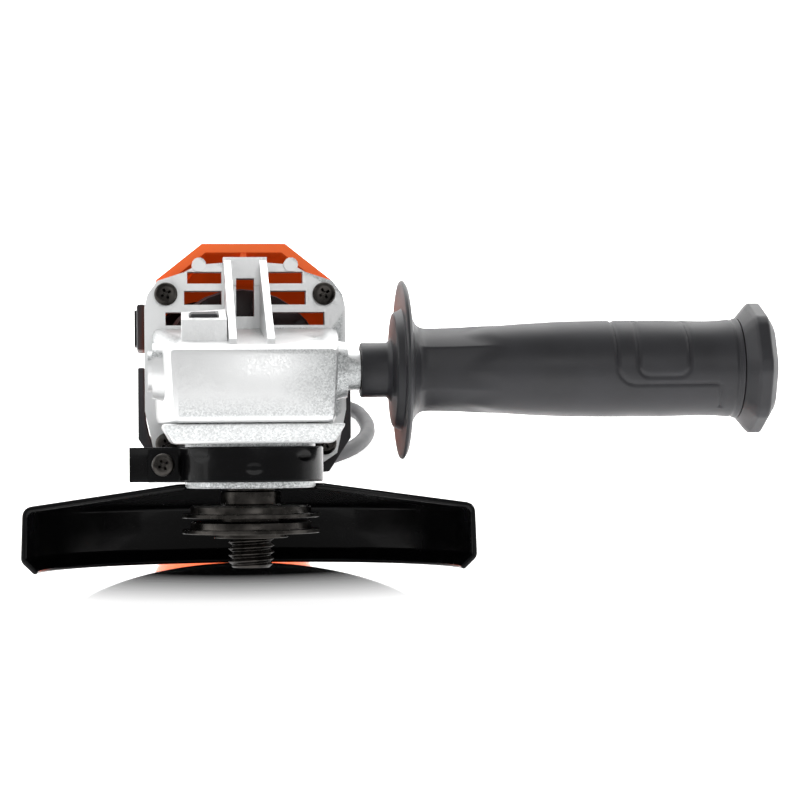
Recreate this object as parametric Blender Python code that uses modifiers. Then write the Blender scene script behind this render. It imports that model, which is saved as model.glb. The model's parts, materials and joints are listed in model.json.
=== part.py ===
"""Corded 125 mm angle grinder, standing nose-up on its guard and on the heel of its rear covers.

Metres, +Z up. Everything on the tool hangs from the empty "tool", whose axes are the tool's own: its
origin is on the spindle axis in the plane of the guard's rim, +X points along the side handle, +Y back along
the motor and +Z up the spindle. The empty "bench" holds the tilted tool and the cord on the surface they rest on.
"""

import math

import bmesh
import bpy
from mathutils import Matrix, Vector

GAP = 0.0003  # between pieces that touch

# Gear head
MOTOR_AXIS_Z = 0.0632
CASE_FRONT_Y = -0.0310
CASE_HALF_WIDTH = 0.0252
CASE_BOTTOM_Z = 0.0453
DECK_FRONT_Z = 0.0674
DECK_REAR_Z = 0.0764
FLANGE_FRONT_Y = 0.0340
FLANGE_REAR_Y = 0.0410
FLANGE_HALF_WIDTH = 0.0322
HANDLE_AXIS_Z = 0.0615
HANDLE_BOSS_RADIUS = 0.0062
HANDLE_BOSS_END_X = 0.0337
SPARE_BOSS_END_X = 0.0312
RIB_THICKNESS = 0.0022
RIB_OFFSET_X = 0.0057

# Bearing cover, its collar and the guard's clamp band
COVER_BOTTOM_Z = 0.0391
COLLAR_RADIUS = 0.0200
COLLAR_BOTTOM_Z = 0.0256
BAND_THICKNESS = 0.0020
BAND_BOTTOM_Z = 0.0275
BAND_TOP_Z = 0.0382
LUG_REACH = 0.0370

# Guard
GUARD_RADIUS = 0.0700
GUARD_SHEET = 0.0018
GUARD_WALL_TOP_Z = 0.0187
GUARD_ROOF_TOP_Z = 0.0268
GUARD_LIP_HEIGHT = 0.0038
GUARD_LIP_LEAN = 0.0042
GUARD_RIM_FLAT = 0.0006

# Bevel gears
RING_TEETH = 36
PINION_TEETH = 11
CONE_DISTANCE = 0.0220
FACE_WIDTH = 0.0060
TOOTH_SHARE = 0.34  # of the pitch, at the pitch line
ADDENDUM = 0.0007
DEDENDUM = 0.0011

# Spindle and what it carries
SPINDLE_THREAD_RADIUS = 0.0069
SPINDLE_END_Z = 0.0012
SPINDLE_BEARING = (0.0060, 0.0140, 0.0080)  # bore radius, outer radius, width
SPINDLE_BEARING_Z = 0.0290
GEAR_SEAT_RADIUS = 0.0055
TOP_JOURNAL_RADIUS = 0.0040
FLANGE_LIP_RADIUS = 0.0210
FLANGE_BODY_RADIUS = 0.0185
FLANGE_RELIEF_RADIUS = 0.0187  # the disc is clamped only outside this
FLANGE_TOP_Z = 0.0203
FLANGE_BOTTOM_Z = 0.0165
NUT_TOP_Z = 0.0155
NUT_BOTTOM_Z = 0.0117
LIP_THICKNESS = 0.0014
NUT_COLLAR_RADIUS = 0.0108  # enters the 22.23 mm bore of a disc

# Spindle lock
LOCK_X = -0.0140
LOCK_PIN_X = -0.0124
LOCK_PIN_RADIUS = 0.0017
LOCK_TRAVEL = 0.0030
LOCK_BUTTON_TOP_Z = 0.0800
LOCK_POCKET_FLOOR_Z = 0.0712

# Motor
ARMATURE_RADIUS = 0.0175
STATOR_RADIUS = 0.0280
STATOR_BORE = 0.0182
STATOR_FRONT_Y = 0.0700
STATOR_REAR_Y = 0.1080
COMMUTATOR_RADIUS = 0.0115
BRUSH_Y = 0.1275
FRONT_BEARING = (0.0040, 0.0110, 0.0070)
FRONT_BEARING_Y = 0.0255
REAR_BEARING = (0.0035, 0.0095, 0.0060)
REAR_BEARING_Y = 0.1410
FAN_RADIUS = 0.0265
FAN_FRONT_Y = 0.0450

# Housing and rear covers
HOUSING_HALF = 0.0316
HOUSING_WALL = 0.0024
HOUSING_END_Y = 0.1500
HOOD_TOP_Z = 0.1043
HOOD_FRONT_Y = 0.0450
HOOD_REAR_Y = 0.0830
HOOD_WALL = 0.0023
SKIRT_DEPTH = 0.0100
HEEL_Y = 0.2350
HEEL_Z = 0.0340
BODY_END_Y = 0.2450
CORD_GUARD_END_Y = 0.2850
CORD_GUARD_Z = 0.0620
SWITCH_TRAVEL = 0.0060

# Side handle
HANDLE_NECK_RADIUS = 0.0084
HANDLE_FLANGE_X = 0.0468
HANDLE_FLANGE_RADIUS = 0.0276
GRIP_START_X = 0.0503
GRIP_END_X = 0.1515
GRIP_FRONT_RADIUS = 0.0125
GRIP_RADIUS = 0.0150
HANDLE_END_X = 0.1630
END_CAP_HEIGHT = 0.0388
STUD_RADIUS = 0.0039

# Cord, lying on the bench
CORD_RADIUS = 0.0031
COIL_CENTRE = (0.0120, 0.4060)
COIL_INNER_RADIUS = 0.0250
COIL_OUTER_RADIUS = 0.0450
COIL_HEIGHT = 0.0190

ROUND_STEPS = 28
SCREW_STEPS = 10

# Where the tool rests: on the back of the guard's rim and on the heel of the rear covers
RIM_CONTACT_Y = GUARD_RADIUS - GUARD_LIP_LEAN + GUARD_RIM_FLAT
TILT = math.atan2(HEEL_Z, HEEL_Y - RIM_CONTACT_Y)
LIFT = RIM_CONTACT_Y * math.sin(TILT)

ALONG_Z = (0.0, 0.0, 0.0)
ALONG_Y = (-math.pi / 2, 0.0, 0.0)
ALONG_X = (0.0, math.pi / 2, 0.0)


# ---------------------------------------------------------------- scene and materials

for old in list(bpy.data.objects):
    bpy.data.objects.remove(old, do_unlink=True)

parts = bpy.data.collections.new("angle_grinder")
cutters = bpy.data.collections.new("cutters")
bpy.context.scene.collection.children.link(parts)
bpy.context.scene.collection.children.link(cutters)


def material(name, colour, roughness, metallic=0.0):
    made = bpy.data.materials.new(name)
    made.use_nodes = True
    shader = made.node_tree.nodes["Principled BSDF"]
    shader.inputs["Base Color"].default_value = (*colour, 1.0)
    shader.inputs["Roughness"].default_value = roughness
    shader.inputs["Metallic"].default_value = metallic
    made.diffuse_color = (*colour, 1.0)
    return made


CAST_SILVER = material("cast_silver_paint", (0.58, 0.60, 0.60), 0.38, 0.6)
ORANGE = material("orange_nylon", (1.0, 0.17, 0.03), 0.42)
BLACK_PLASTIC = material("black_nylon", (0.040, 0.040, 0.045), 0.48)
BLACK_PAINT = material("gloss_black_paint", (0.010, 0.010, 0.010), 0.18)
BLACK_OXIDE = material("blackened_steel", (0.045, 0.045, 0.048), 0.40, 0.7)
STEEL = material("ground_steel", (0.56, 0.57, 0.58), 0.28, 1.0)
BRASS = material("brass", (0.78, 0.57, 0.25), 0.30, 1.0)
COPPER = material("copper", (0.85, 0.42, 0.22), 0.32, 1.0)
LAMINATION = material("laminated_iron", (0.30, 0.30, 0.32), 0.50, 0.9)
CARBON = material("carbon", (0.03, 0.03, 0.03), 0.70)
RUBBER = material("cord_rubber", (0.05, 0.05, 0.05), 0.60)


def empty(name, parent=None, location=(0.0, 0.0, 0.0), rotation=(0.0, 0.0, 0.0)):
    made = bpy.data.objects.new(name, None)
    parts.objects.link(made)
    made.parent = parent
    made.location = location
    made.rotation_euler = rotation
    return made


bench = empty("bench")
tool = empty("tool", bench, (0.0, 0.0, LIFT), (-TILT, 0.0, 0.0))
spindle_axis = empty("spindle_axis", tool)
motor_axis = empty("motor_axis", tool, (0.0, 0.0, MOTOR_AXIS_Z), ALONG_Y)
guard_axis = empty("guard_axis", tool)
handle_axis = empty("handle_axis", tool, (0.0, 0.0, HANDLE_AXIS_Z), ALONG_X)


# ---------------------------------------------------------------- modelling helpers


def add_object(name, mesh, finish, parent, location=(0.0, 0.0, 0.0), rotation=(0.0, 0.0, 0.0)):
    """Links a mesh as a part, or as a cutter when it has no finish."""
    made = bpy.data.objects.new(name, mesh)
    made.parent = parent
    made.location = location
    made.rotation_euler = rotation
    if finish is None:
        cutters.objects.link(made)
        made.hide_render = True
        made.display_type = "WIRE"
    else:
        parts.objects.link(made)
        mesh.materials.append(finish)
        mesh.shade_smooth()
        mesh.set_sharp_from_angle(angle=math.radians(35))
    return made


def mesh_from(name, shape):
    """Turns a bmesh into a mesh with its normals outwards, and frees it."""
    bmesh.ops.remove_doubles(shape, verts=shape.verts, dist=1e-6)
    bmesh.ops.recalc_face_normals(shape, faces=shape.faces)
    mesh = bpy.data.meshes.new(name)
    shape.to_mesh(mesh)
    shape.free()
    return mesh


def block_mesh(name, low, high, taper=None):
    """A box between two corners. taper(corner) may move each corner."""
    shape = bmesh.new()
    bmesh.ops.create_cube(shape, size=1.0)
    for corner in shape.verts:
        place = Vector([low[i] if corner.co[i] < 0 else high[i] for i in range(3)])
        corner.co = Vector(taper(place)) if taper else place
    return mesh_from(name, shape)


def block(name, low, high, finish=None, parent=tool, taper=None, bevel=0.0):
    made = add_object(name, block_mesh(name, low, high, taper), finish, parent)
    if bevel:
        rounding = made.modifiers.new("round_edges", "BEVEL")
        rounding.width = bevel
        rounding.segments = 2
        rounding.limit_method = "ANGLE"
    return made


def turned(name, profile, finish=None, parent=tool, location=(0.0, 0.0, 0.0), rotation=ALONG_Z,
           steps=ROUND_STEPS):
    """Turns a profile of (radius, height) points about the local Z axis, listed down the outer side.

    A profile that starts and ends on the axis makes a solid; any other closes on itself and makes a ring.
    """
    mesh = bpy.data.meshes.new(name)
    count = len(profile)
    edges = [(i, i + 1) for i in range(count - 1)]
    if profile[0][0] > 0.0:
        edges.append((count - 1, 0))
    mesh.from_pydata([(r, 0.0, z) for r, z in profile], edges, [])
    made = add_object(name, mesh, finish, parent, location, rotation)
    spin = made.modifiers.new("turn", "SCREW")
    spin.axis = "Z"
    spin.steps = steps
    spin.render_steps = steps
    spin.use_merge_vertices = True
    spin.merge_threshold = 0.00001
    return made


def rod_profile(radius, low, high, chamfer=0.0):
    if not chamfer:
        return [(0.0, high), (radius, high), (radius, low), (0.0, low)]
    return [(0.0, high), (radius - chamfer, high), (radius, high - chamfer),
            (radius, low + chamfer), (radius - chamfer, low), (0.0, low)]


def ring_profile(inner, outer, low, high):
    return [(outer, high), (outer, low), (inner, low), (inner, high)]


def rod(name, radius, low, high, finish=None, parent=tool, location=(0.0, 0.0, 0.0),
        rotation=ALONG_Z, steps=24, chamfer=0.0):
    return turned(name, rod_profile(radius, low, high, chamfer), finish, parent, location, rotation, steps)


def baked(made):
    """The object as its modifiers leave it, as a plain mesh in the same place."""
    bpy.context.view_layer.update()
    graph = bpy.context.evaluated_depsgraph_get()
    mesh = bpy.data.meshes.new_from_object(made.evaluated_get(graph))
    shape = bmesh.new()
    shape.from_mesh(mesh)
    bmesh.ops.remove_doubles(shape, verts=shape.verts, dist=1e-6)
    bmesh.ops.recalc_face_normals(shape, faces=shape.faces)
    shape.to_mesh(mesh)
    shape.free()
    return mesh


def plate(name, outline, low, high, finish=None, parent=tool, location=(0.0, 0.0, 0.0), rotation=ALONG_Z):
    """A flat outline of (x, y) points given thickness from low to high along the local Z axis."""
    curve = bpy.data.curves.new(name, "CURVE")
    curve.dimensions = "2D"
    curve.fill_mode = "BOTH"
    curve.extrude = (high - low) / 2
    spline = curve.splines.new("POLY")
    spline.points.add(len(outline) - 1)
    for point, (x, y) in zip(spline.points, outline):
        point.co = (x, y, 0.0, 1.0)
    spline.use_cyclic_u = True
    guide = bpy.data.objects.new(name + "_outline", curve)
    cutters.objects.link(guide)
    mesh = baked(guide)
    bpy.data.objects.remove(guide, do_unlink=True)
    mesh.transform(Matrix.Translation((0.0, 0.0, (low + high) / 2)))
    mesh.name = name
    return add_object(name, mesh, finish, parent, location, rotation)


def tube(name, points, radius, finish, parent, sides=2):
    """A round tube with closed ends through the points."""
    curve = bpy.data.curves.new(name, "CURVE")
    curve.dimensions = "3D"
    curve.bevel_depth = radius
    curve.bevel_resolution = sides
    curve.use_fill_caps = True
    spline = curve.splines.new("POLY")
    spline.points.add(len(points) - 1)
    for point, place in zip(spline.points, points):
        point.co = (*place, 1.0)
    made = bpy.data.objects.new(name, curve)
    parts.objects.link(made)
    made.parent = parent
    curve.materials.append(finish)
    return made


def loft(name, sections, finish=None, parent=tool):
    """Closed solid through rings of equally many points, with a flat cap at each end."""
    shape = bmesh.new()
    rings = [[shape.verts.new(point) for point in section] for section in sections]
    count = len(rings[0])
    for near, far in zip(rings, rings[1:]):
        for i in range(count):
            j = (i + 1) % count
            shape.faces.new((near[i], near[j], far[j], far[i]))
    shape.faces.new(rings[0])
    shape.faces.new(rings[-1])
    return add_object(name, mesh_from(name, shape), finish, parent)


# Castings and shells with so many joins and cuts that the exact solver leaves gaps in them.
MANY_CUTS = ("gear_case", "motor_housing", "rear_cover_left", "rear_cover_right")


def boolean(made, other, operation):
    step = made.modifiers.new(other.name, "BOOLEAN")
    step.operation = operation
    step.solver = "MANIFOLD" if made.name in MANY_CUTS else "EXACT"
    step.object = other
    return made


def cut(made, *others):
    for other in others:
        boolean(made, other, "DIFFERENCE")
    return made


def join(made, *others):
    for other in others:
        boolean(made, other, "UNION")
    return made


def coil_spring(name, radius, wire, low, high, turns, parent, location, rotation):
    """A round-wire compression spring along the local Z axis."""
    per_turn = 10
    count = turns * per_turn + 1
    points = []
    for i in range(count):
        angle = 2 * math.pi * i / per_turn
        height = low + wire + (high - low - 2 * wire) * i / (count - 1)
        points.append((radius * math.cos(angle), radius * math.sin(angle), height))
    made = tube(name, points, wire, STEEL, parent, sides=1)
    made.location = location
    made.rotation_euler = rotation
    return made


# ---------------------------------------------------------------- bevel gears

RING_PITCH_ANGLE = math.atan2(RING_TEETH, PINION_TEETH)
PINION_PITCH_ANGLE = math.atan2(PINION_TEETH, RING_TEETH)


def gear_point(pitch_angle, distance, rise):
    """(radius, height) at a distance along the pitch cone and a rise square to it; the apex is the origin.

    The cone opens towards -Z. A positive rise is on the toothed side.
    """
    radius = distance * math.sin(pitch_angle) + rise * math.cos(pitch_angle)
    height = -distance * math.cos(pitch_angle) + rise * math.sin(pitch_angle)
    return radius, height


def bevel_gear(name, teeth, pitch_angle, profile_below, parent, location, rotation, phase):
    """Toothed cone: a turned blank with a wedge-shaped gap cut between every two teeth.

    profile_below lists the blank's (radius, height) points from the outer root round to the inner face.
    """
    outer, inner = CONE_DISTANCE, CONE_DISTANCE - FACE_WIDTH
    tip_outer = gear_point(pitch_angle, outer, ADDENDUM)
    tip_inner = gear_point(pitch_angle, inner, ADDENDUM * inner / outer)
    gear = turned(name, [tip_inner, tip_outer, *profile_below], STEEL, parent, location, rotation,
                  steps=teeth)
    shape = bmesh.new()
    pitch = 2 * math.pi / teeth
    for tooth in range(teeth):
        made = bmesh.ops.create_cube(shape, size=1.0)["verts"]
        turn = Matrix.Rotation(phase + tooth * pitch, 4, "Z")
        for corner in made:
            distance = outer * 1.06 if corner.co.x > 0 else inner * 0.90
            scale = distance / outer
            top = corner.co.z > 0
            rise = (ADDENDUM * 2.2 if top else -DEDENDUM) * scale
            radius, height = gear_point(pitch_angle, distance, rise)
            share = (1 - TOOTH_SHARE) / 2 + (0.17 if top else -0.10)
            half = pitch * share * distance * math.sin(pitch_angle)
            corner.co = turn @ Vector((radius, half if corner.co.y > 0 else -half, height))
    return cut(gear, add_object(name + "_gaps", mesh_from(name + "_gaps", shape), None, parent,
                                location, rotation))


def gears():
    """Pinion on the motor shaft above the ring gear; a pinion tooth at -Z stands in a ring gap at +Y."""
    ring_root = gear_point(RING_PITCH_ANGLE, CONE_DISTANCE, -DEDENDUM)
    hub_top_z = gear_point(RING_PITCH_ANGLE, CONE_DISTANCE - FACE_WIDTH, 0.0)[1]
    hub_bottom = 0.0470 - MOTOR_AXIS_Z
    bore = GEAR_SEAT_RADIUS + GAP
    groove_floor = hub_top_z - 0.0045
    groove_inner = -LOCK_PIN_X - LOCK_PIN_RADIUS - 0.0009
    groove_outer = -LOCK_PIN_X + LOCK_PIN_RADIUS + 0.0008
    below = [
        (ring_root[0], ring_root[1] - 0.0018),
        (0.0150, ring_root[1] - 0.0034),
        (0.0095, hub_bottom),
        (bore, hub_bottom),
        (bore, hub_top_z - 0.0002),
        (groove_inner, hub_top_z - 0.0002),
        (groove_inner, groove_floor),
        (groove_outer, groove_floor),
        (groove_outer, hub_top_z - 0.0010),
    ]
    apex = (0.0, 0.0, MOTOR_AXIS_Z)
    bevel_gear("ring_gear", RING_TEETH, RING_PITCH_ANGLE, below, spindle_axis, apex, ALONG_Z, math.pi / 2)
    shaft = 0.0029
    back = -CONE_DISTANCE * math.cos(PINION_PITCH_ANGLE) - 0.0022
    front = -(CONE_DISTANCE - FACE_WIDTH) * math.cos(PINION_PITCH_ANGLE)
    below = [
        (0.0058, back + 0.0012),
        (0.0058, back),
        (shaft, back),
        (shaft, front),
        (0.0036, front),
    ]
    # The pinion's cone opens towards +Y, so its local -Z is turned that way.
    half_turn = (math.pi / 2, 0.0, 0.0)
    bevel_gear("pinion", PINION_TEETH, PINION_PITCH_ANGLE, below, tool, apex, half_turn,
               -math.pi / 2 + math.pi / PINION_TEETH)


# ---------------------------------------------------------------- gear case


def mirrored(points):
    """An outline from its right half, listed from the top centre round to the bottom centre."""
    return points + [(-x, z) for x, z in reversed(points) if x > 0.0]


def upright_plate(name, outline, low_y, high_y, finish=None):
    """A plate square to the motor axis, from an outline of (x, z) points."""
    flipped = [(x, -z) for x, z in outline]
    return plate(name, flipped, low_y, high_y, finish, tool, rotation=ALONG_Y)


CASE_SCREWS = [(side * 0.0253, MOTOR_AXIS_Z + lift * 0.0240) for lift in (1, -1) for side in (1, -1)]
COVER_SCREWS = [(0.0180, -0.0195), (-0.0180, -0.0195), (0.0195, 0.0235), (-0.0195, 0.0235)]
CAVITY_RADIUS = CONE_DISTANCE * math.sin(RING_PITCH_ANGLE) + 0.0016
CAVITY_TOP_Z = 0.0602
PINION_BORE = 0.0088
FRONT_BEARING_BORE = FRONT_BEARING[1] + GAP


def rear_flange():
    """The plate that closes the head against the motor housing, with its domed top."""
    w = FLANGE_HALF_WIDTH
    outline = mirrored([
        (0.0065, 0.0973), (0.0120, 0.0969), (0.0165, 0.0959), (0.0194, 0.0943), (0.0280, 0.0915),
        (w - 0.0010, 0.0872), (w, 0.0830), (w, 0.0500), (w - 0.0015, 0.0430), (w - 0.0030, 0.0360),
        (w - 0.0075, 0.0330),
    ])
    return upright_plate("rear_flange", outline, FLANGE_FRONT_Y, FLANGE_REAR_Y)


def vent_cutters():
    """Air slots through the flange: three rows each side and one between the ribs."""
    made = []
    rows = [(0.0075, 0.0185, 0.0906, 0.0944), (0.0075, 0.0195, 0.0838, 0.0883),
            (0.0080, 0.0255, 0.0772, 0.0814)]
    for number, (inner, outer, low, high) in enumerate(rows):
        for side in (1, -1):
            ends = sorted((side * inner, side * outer))
            made.append(block(f"vent_{number}_{side}", (ends[0], FLANGE_FRONT_Y - 0.02, low),
                              (ends[1], FLANGE_REAR_Y + 0.01, high)))
    made.append(block("vent_middle", (-0.0029, FLANGE_FRONT_Y - 0.02, 0.0800),
                      (0.0029, FLANGE_REAR_Y + 0.01, 0.0922)))
    return made


def gear_case():
    def body_taper(corner):
        x, y, z = corner
        rear = y > 0
        top = z > 0.05
        wide = 0.0300 if rear else CASE_HALF_WIDTH
        return (math.copysign(wide - (0.0 if top else 0.0012), x), y, (DECK_REAR_Z if rear else DECK_FRONT_Z)
                if top else CASE_BOTTOM_Z)

    case = block("gear_case", (-1.0, CASE_FRONT_Y, 0.0), (1.0, FLANGE_FRONT_Y + 0.001, 1.0), CAST_SILVER,
                 taper=body_taper, bevel=0.0022)
    additions = [rear_flange()]
    additions.append(block("channel_top", (-0.0070, FLANGE_FRONT_Y - 0.0011, 0.0900),
                           (0.0070, FLANGE_REAR_Y - 0.0007, 0.0990)))
    for side in (1, -1):
        rib = [(-0.0200, -0.0600), (FLANGE_FRONT_Y + 0.002, -0.0600), (FLANGE_FRONT_Y + 0.002, -0.0985),
               (FLANGE_FRONT_Y - 0.0008, -0.0985), (-0.0200, -0.0705)]
        # The outline's (y, -z) stand up when the plate is turned to face along X.
        outline = [(z, y) for y, z in rib]
        additions.append(plate(f"rib_{side}", outline, side * RIB_OFFSET_X - RIB_THICKNESS / 2,
                               side * RIB_OFFSET_X + RIB_THICKNESS / 2, None, tool, rotation=ALONG_X))
        boss_end = HANDLE_BOSS_END_X if side > 0 else SPARE_BOSS_END_X
        additions.append(rod(f"handle_boss_{side}", HANDLE_BOSS_RADIUS, 0.0150, boss_end,
                             location=(0.0, 0.0, HANDLE_AXIS_Z), rotation=(0.0, side * math.pi / 2, 0.0)))
        additions.append(turned(f"boss_base_{side}", [(0.0, 0.0298), (0.0085, 0.0298), (0.0105, 0.0200),
                                                      (0.0, 0.0200)],
                                location=(0.0, 0.0, HANDLE_AXIS_Z), rotation=(0.0, side * math.pi / 2, 0.0),
                                steps=24))
        additions.append(rod(f"dowel_{side}", 0.0023, FLANGE_FRONT_Y - 0.0015, FLANGE_REAR_Y - 0.0009,
                             location=(side * 0.0147, 0.0, 0.0966), rotation=ALONG_Y, steps=14))

    def lock_boss_taper(corner):
        x, y, z = corner
        if z < 0.07:
            return corner
        return (x * 0.97 - 0.0004, y * 0.94, 0.0768 if y < 0 else 0.0800 + (0.0010 if x > LOCK_X else 0.0))

    additions.append(block("lock_boss", (-0.0210, -0.0095, 0.0600), (-0.0070, 0.0095, 0.0768),
                           taper=lock_boss_taper))
    join(case, *additions)

    cavity = rod("gear_cavity", CAVITY_RADIUS, CASE_BOTTOM_Z - 0.01, CAVITY_TOP_Z, steps=ROUND_STEPS)
    pinion_bore = rod("pinion_bore", PINION_BORE, 0.0135, 0.0300, location=(0.0, 0.0, MOTOR_AXIS_Z),
                      rotation=ALONG_Y, steps=32)
    bearing_seat = rod("front_bearing_seat", FRONT_BEARING_BORE, FRONT_BEARING_Y - GAP, FLANGE_REAR_Y + 0.01,
                       location=(0.0, 0.0, MOTOR_AXIS_Z), rotation=ALONG_Y, steps=32)
    bush_seat = rod("top_bush_seat", 0.0070, 0.0500, 0.0690, steps=24)
    pin_hole = rod("lock_pin_hole", LOCK_PIN_RADIUS + GAP, 0.0500, 0.0900,
                   location=(LOCK_PIN_X, 0.0, 0.0), steps=16)
    pocket = block("lock_button_pocket", (LOCK_X - 0.0046, -0.0058, LOCK_POCKET_FLOOR_Z),
                   (LOCK_X + 0.0046, 0.0058, 0.0900))
    cut(case, cavity, pinion_bore, bearing_seat, bush_seat, pin_hole, pocket, *vent_cutters())
    for side in (1, -1):
        cut(case, rod(f"handle_thread_{side}", STUD_RADIUS + GAP, 0.0235, 0.0400,
                      location=(0.0, 0.0, HANDLE_AXIS_Z), rotation=(0.0, side * math.pi / 2, 0.0), steps=16))
    for number, (x, z) in enumerate(CASE_SCREWS):
        cut(case, rod(f"case_screw_hole_{number}", 0.0022, FLANGE_FRONT_Y - 0.0040, FLANGE_REAR_Y + 0.01,
                      location=(x, 0.0, z), rotation=ALONG_Y, steps=SCREW_STEPS))
    for number, (x, y) in enumerate(COVER_SCREWS):
        cut(case, rod(f"cover_screw_thread_{number}", 0.0022, CASE_BOTTOM_Z - 0.01, 0.0565,
                      location=(x, y, 0.0), steps=SCREW_STEPS))
    return case


def cross_recess(name, parent, location, rotation, depth=0.0014, reach=0.0021, width=0.0008):
    """Two crossed slots for a screwdriver, sunk from the local z = 0 plane downwards."""
    first = add_object(name + "_a", block_mesh(name + "_a", (-reach, -width / 2, -depth),
                                               (reach, width / 2, 0.001)), None, parent, location, rotation)
    second = add_object(name + "_b", block_mesh(name + "_b", (-width / 2, -reach, -depth),
                                                (width / 2, reach, 0.001)), None, parent, location, rotation)
    return first, second


def pan_screw(name, head_radius, head_height, shank_radius, shank_length, location, rotation,
              finish=BLACK_OXIDE, parent=tool, recess=True):
    """A cross-head screw; its head stands on the local z = 0 plane and its shank points to -Z."""
    profile = [(0.0, head_height), (head_radius * 0.62, head_height), (head_radius, head_height * 0.4),
               (head_radius, 0.0), (shank_radius, 0.0), (shank_radius, -shank_length), (0.0, -shank_length)]
    made = turned(name, profile, finish, parent, location, rotation, steps=SCREW_STEPS)
    if recess:
        top = Vector((0.0, 0.0, head_height))
        top.rotate(made.rotation_euler)
        place = Vector(location) + top
        cut(made, *cross_recess(name + "_recess", parent, place, rotation, reach=head_radius * 0.55))
    return made


def head_covers():
    """Cover under the gear case with its bearing seat and collar, and the screws of the head."""

    def cover_taper(corner):
        x, y, z = corner
        top = z > 0.042
        half = 0.0275 if top else 0.0240
        front = CASE_FRONT_Y + (0.0012 if top else 0.0035)
        return (math.copysign(half, x), front if y < 0 else FLANGE_FRONT_Y - 0.0036, z)

    cover = block("bearing_cover", (-1.0, -1.0, COVER_BOTTOM_Z), (1.0, 1.0, CASE_BOTTOM_Z - GAP),
                  CAST_SILVER, taper=cover_taper, bevel=0.0012)
    join(cover, rod("collar", COLLAR_RADIUS, COLLAR_BOTTOM_Z, COVER_BOTTOM_Z + 0.001, steps=ROUND_STEPS,
                    chamfer=0.0006))
    seat = SPINDLE_BEARING[1] + GAP
    cut(cover, rod("spindle_bearing_seat", seat, SPINDLE_BEARING_Z - GAP, 0.06, steps=ROUND_STEPS),
        rod("spindle_passage", 0.0102, 0.01, 0.05, steps=32))
    for number, (x, y) in enumerate(COVER_SCREWS):
        cut(cover, rod(f"cover_hole_{number}", 0.0022, 0.03, 0.06, location=(x, y, 0.0), steps=SCREW_STEPS),
            rod(f"cover_counterbore_{number}", 0.0035, 0.03, COVER_BOTTOM_Z + 0.0027,
                location=(x, y, 0.0), steps=SCREW_STEPS))
        pan_screw(f"bearing_cover_screw_{number + 1}", 0.0031, 0.0022, 0.0019, 0.0145,
                  (x, y, COVER_BOTTOM_Z + 0.0027 - GAP), (math.pi, 0.0, 0.0), recess=False)
    for number, (x, z) in enumerate(CASE_SCREWS):
        pan_screw(f"gear_case_screw_{number + 1}", 0.0037, 0.0026, 0.0019, 0.0270,
                  (x, FLANGE_FRONT_Y - GAP, z), (math.pi / 2, 0.0, 0.0))


# ---------------------------------------------------------------- spindle


def spindle_group():
    bearing_top = SPINDLE_BEARING_Z + SPINDLE_BEARING[2]
    thread = SPINDLE_THREAD_RADIUS
    turned("spindle", [
        (0.0, 0.0688), (TOP_JOURNAL_RADIUS, 0.0688), (TOP_JOURNAL_RADIUS, 0.0592),
        (GEAR_SEAT_RADIUS, 0.0588), (GEAR_SEAT_RADIUS, 0.0460), (0.0068, 0.0460),
        (0.0068, bearing_top + GAP), (SPINDLE_BEARING[0] - GAP, bearing_top + GAP),
        (SPINDLE_BEARING[0] - GAP, SPINDLE_BEARING_Z - GAP), (0.0090, SPINDLE_BEARING_Z - GAP),
        (0.0090, 0.0249), (thread, 0.0249), (thread, SPINDLE_END_Z + 0.0012),
        (thread - 0.0012, SPINDLE_END_Z), (0.0, SPINDLE_END_Z),
    ], BLACK_OXIDE, spindle_axis, steps=24)
    turned("spindle_bearing", ring_profile(SPINDLE_BEARING[0], SPINDLE_BEARING[1], SPINDLE_BEARING_Z,
                                           bearing_top), STEEL, tool, steps=28)
    turned("spindle_top_bush", ring_profile(TOP_JOURNAL_RADIUS + 0.00005, 0.0070 - GAP, 0.0606, 0.0686),
           BRASS, tool, steps=20)
    bore = thread + GAP
    lip, body = FLANGE_LIP_RADIUS, FLANGE_BODY_RADIUS
    collar_seat = FLANGE_BOTTOM_Z + 0.0006
    turned("inner_flange", [
        (0.0092, 0.0246), (0.0092, FLANGE_TOP_Z), (body, FLANGE_TOP_Z),
        (body, FLANGE_BOTTOM_Z + LIP_THICKNESS), (lip, FLANGE_BOTTOM_Z + LIP_THICKNESS),
        (lip, FLANGE_BOTTOM_Z), (FLANGE_RELIEF_RADIUS, FLANGE_BOTTOM_Z),
        (FLANGE_RELIEF_RADIUS, collar_seat), (bore, collar_seat), (bore, 0.0246),
    ], BLACK_OXIDE, spindle_axis)
    nut = turned("lock_nut", [
        (NUT_COLLAR_RADIUS, collar_seat - GAP), (NUT_COLLAR_RADIUS, NUT_TOP_Z), (body, NUT_TOP_Z),
        (body, NUT_BOTTOM_Z + LIP_THICKNESS), (lip, NUT_BOTTOM_Z + LIP_THICKNESS), (lip, NUT_BOTTOM_Z),
        (0.0115, NUT_BOTTOM_Z), (0.0115, 0.0103), (bore, 0.0103), (bore, collar_seat - GAP),
    ], BLACK_OXIDE, spindle_axis)
    for number in range(4):
        angle = math.pi / 4 + number * math.pi / 2
        place = (0.0150 * math.cos(angle), 0.0150 * math.sin(angle), 0.0)
        cut(nut, rod(f"pin_wrench_hole_{number}", 0.0021, 0.0, NUT_BOTTOM_Z + 0.0026, parent=spindle_axis,
                     location=place, steps=12))


# ---------------------------------------------------------------- guard


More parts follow.
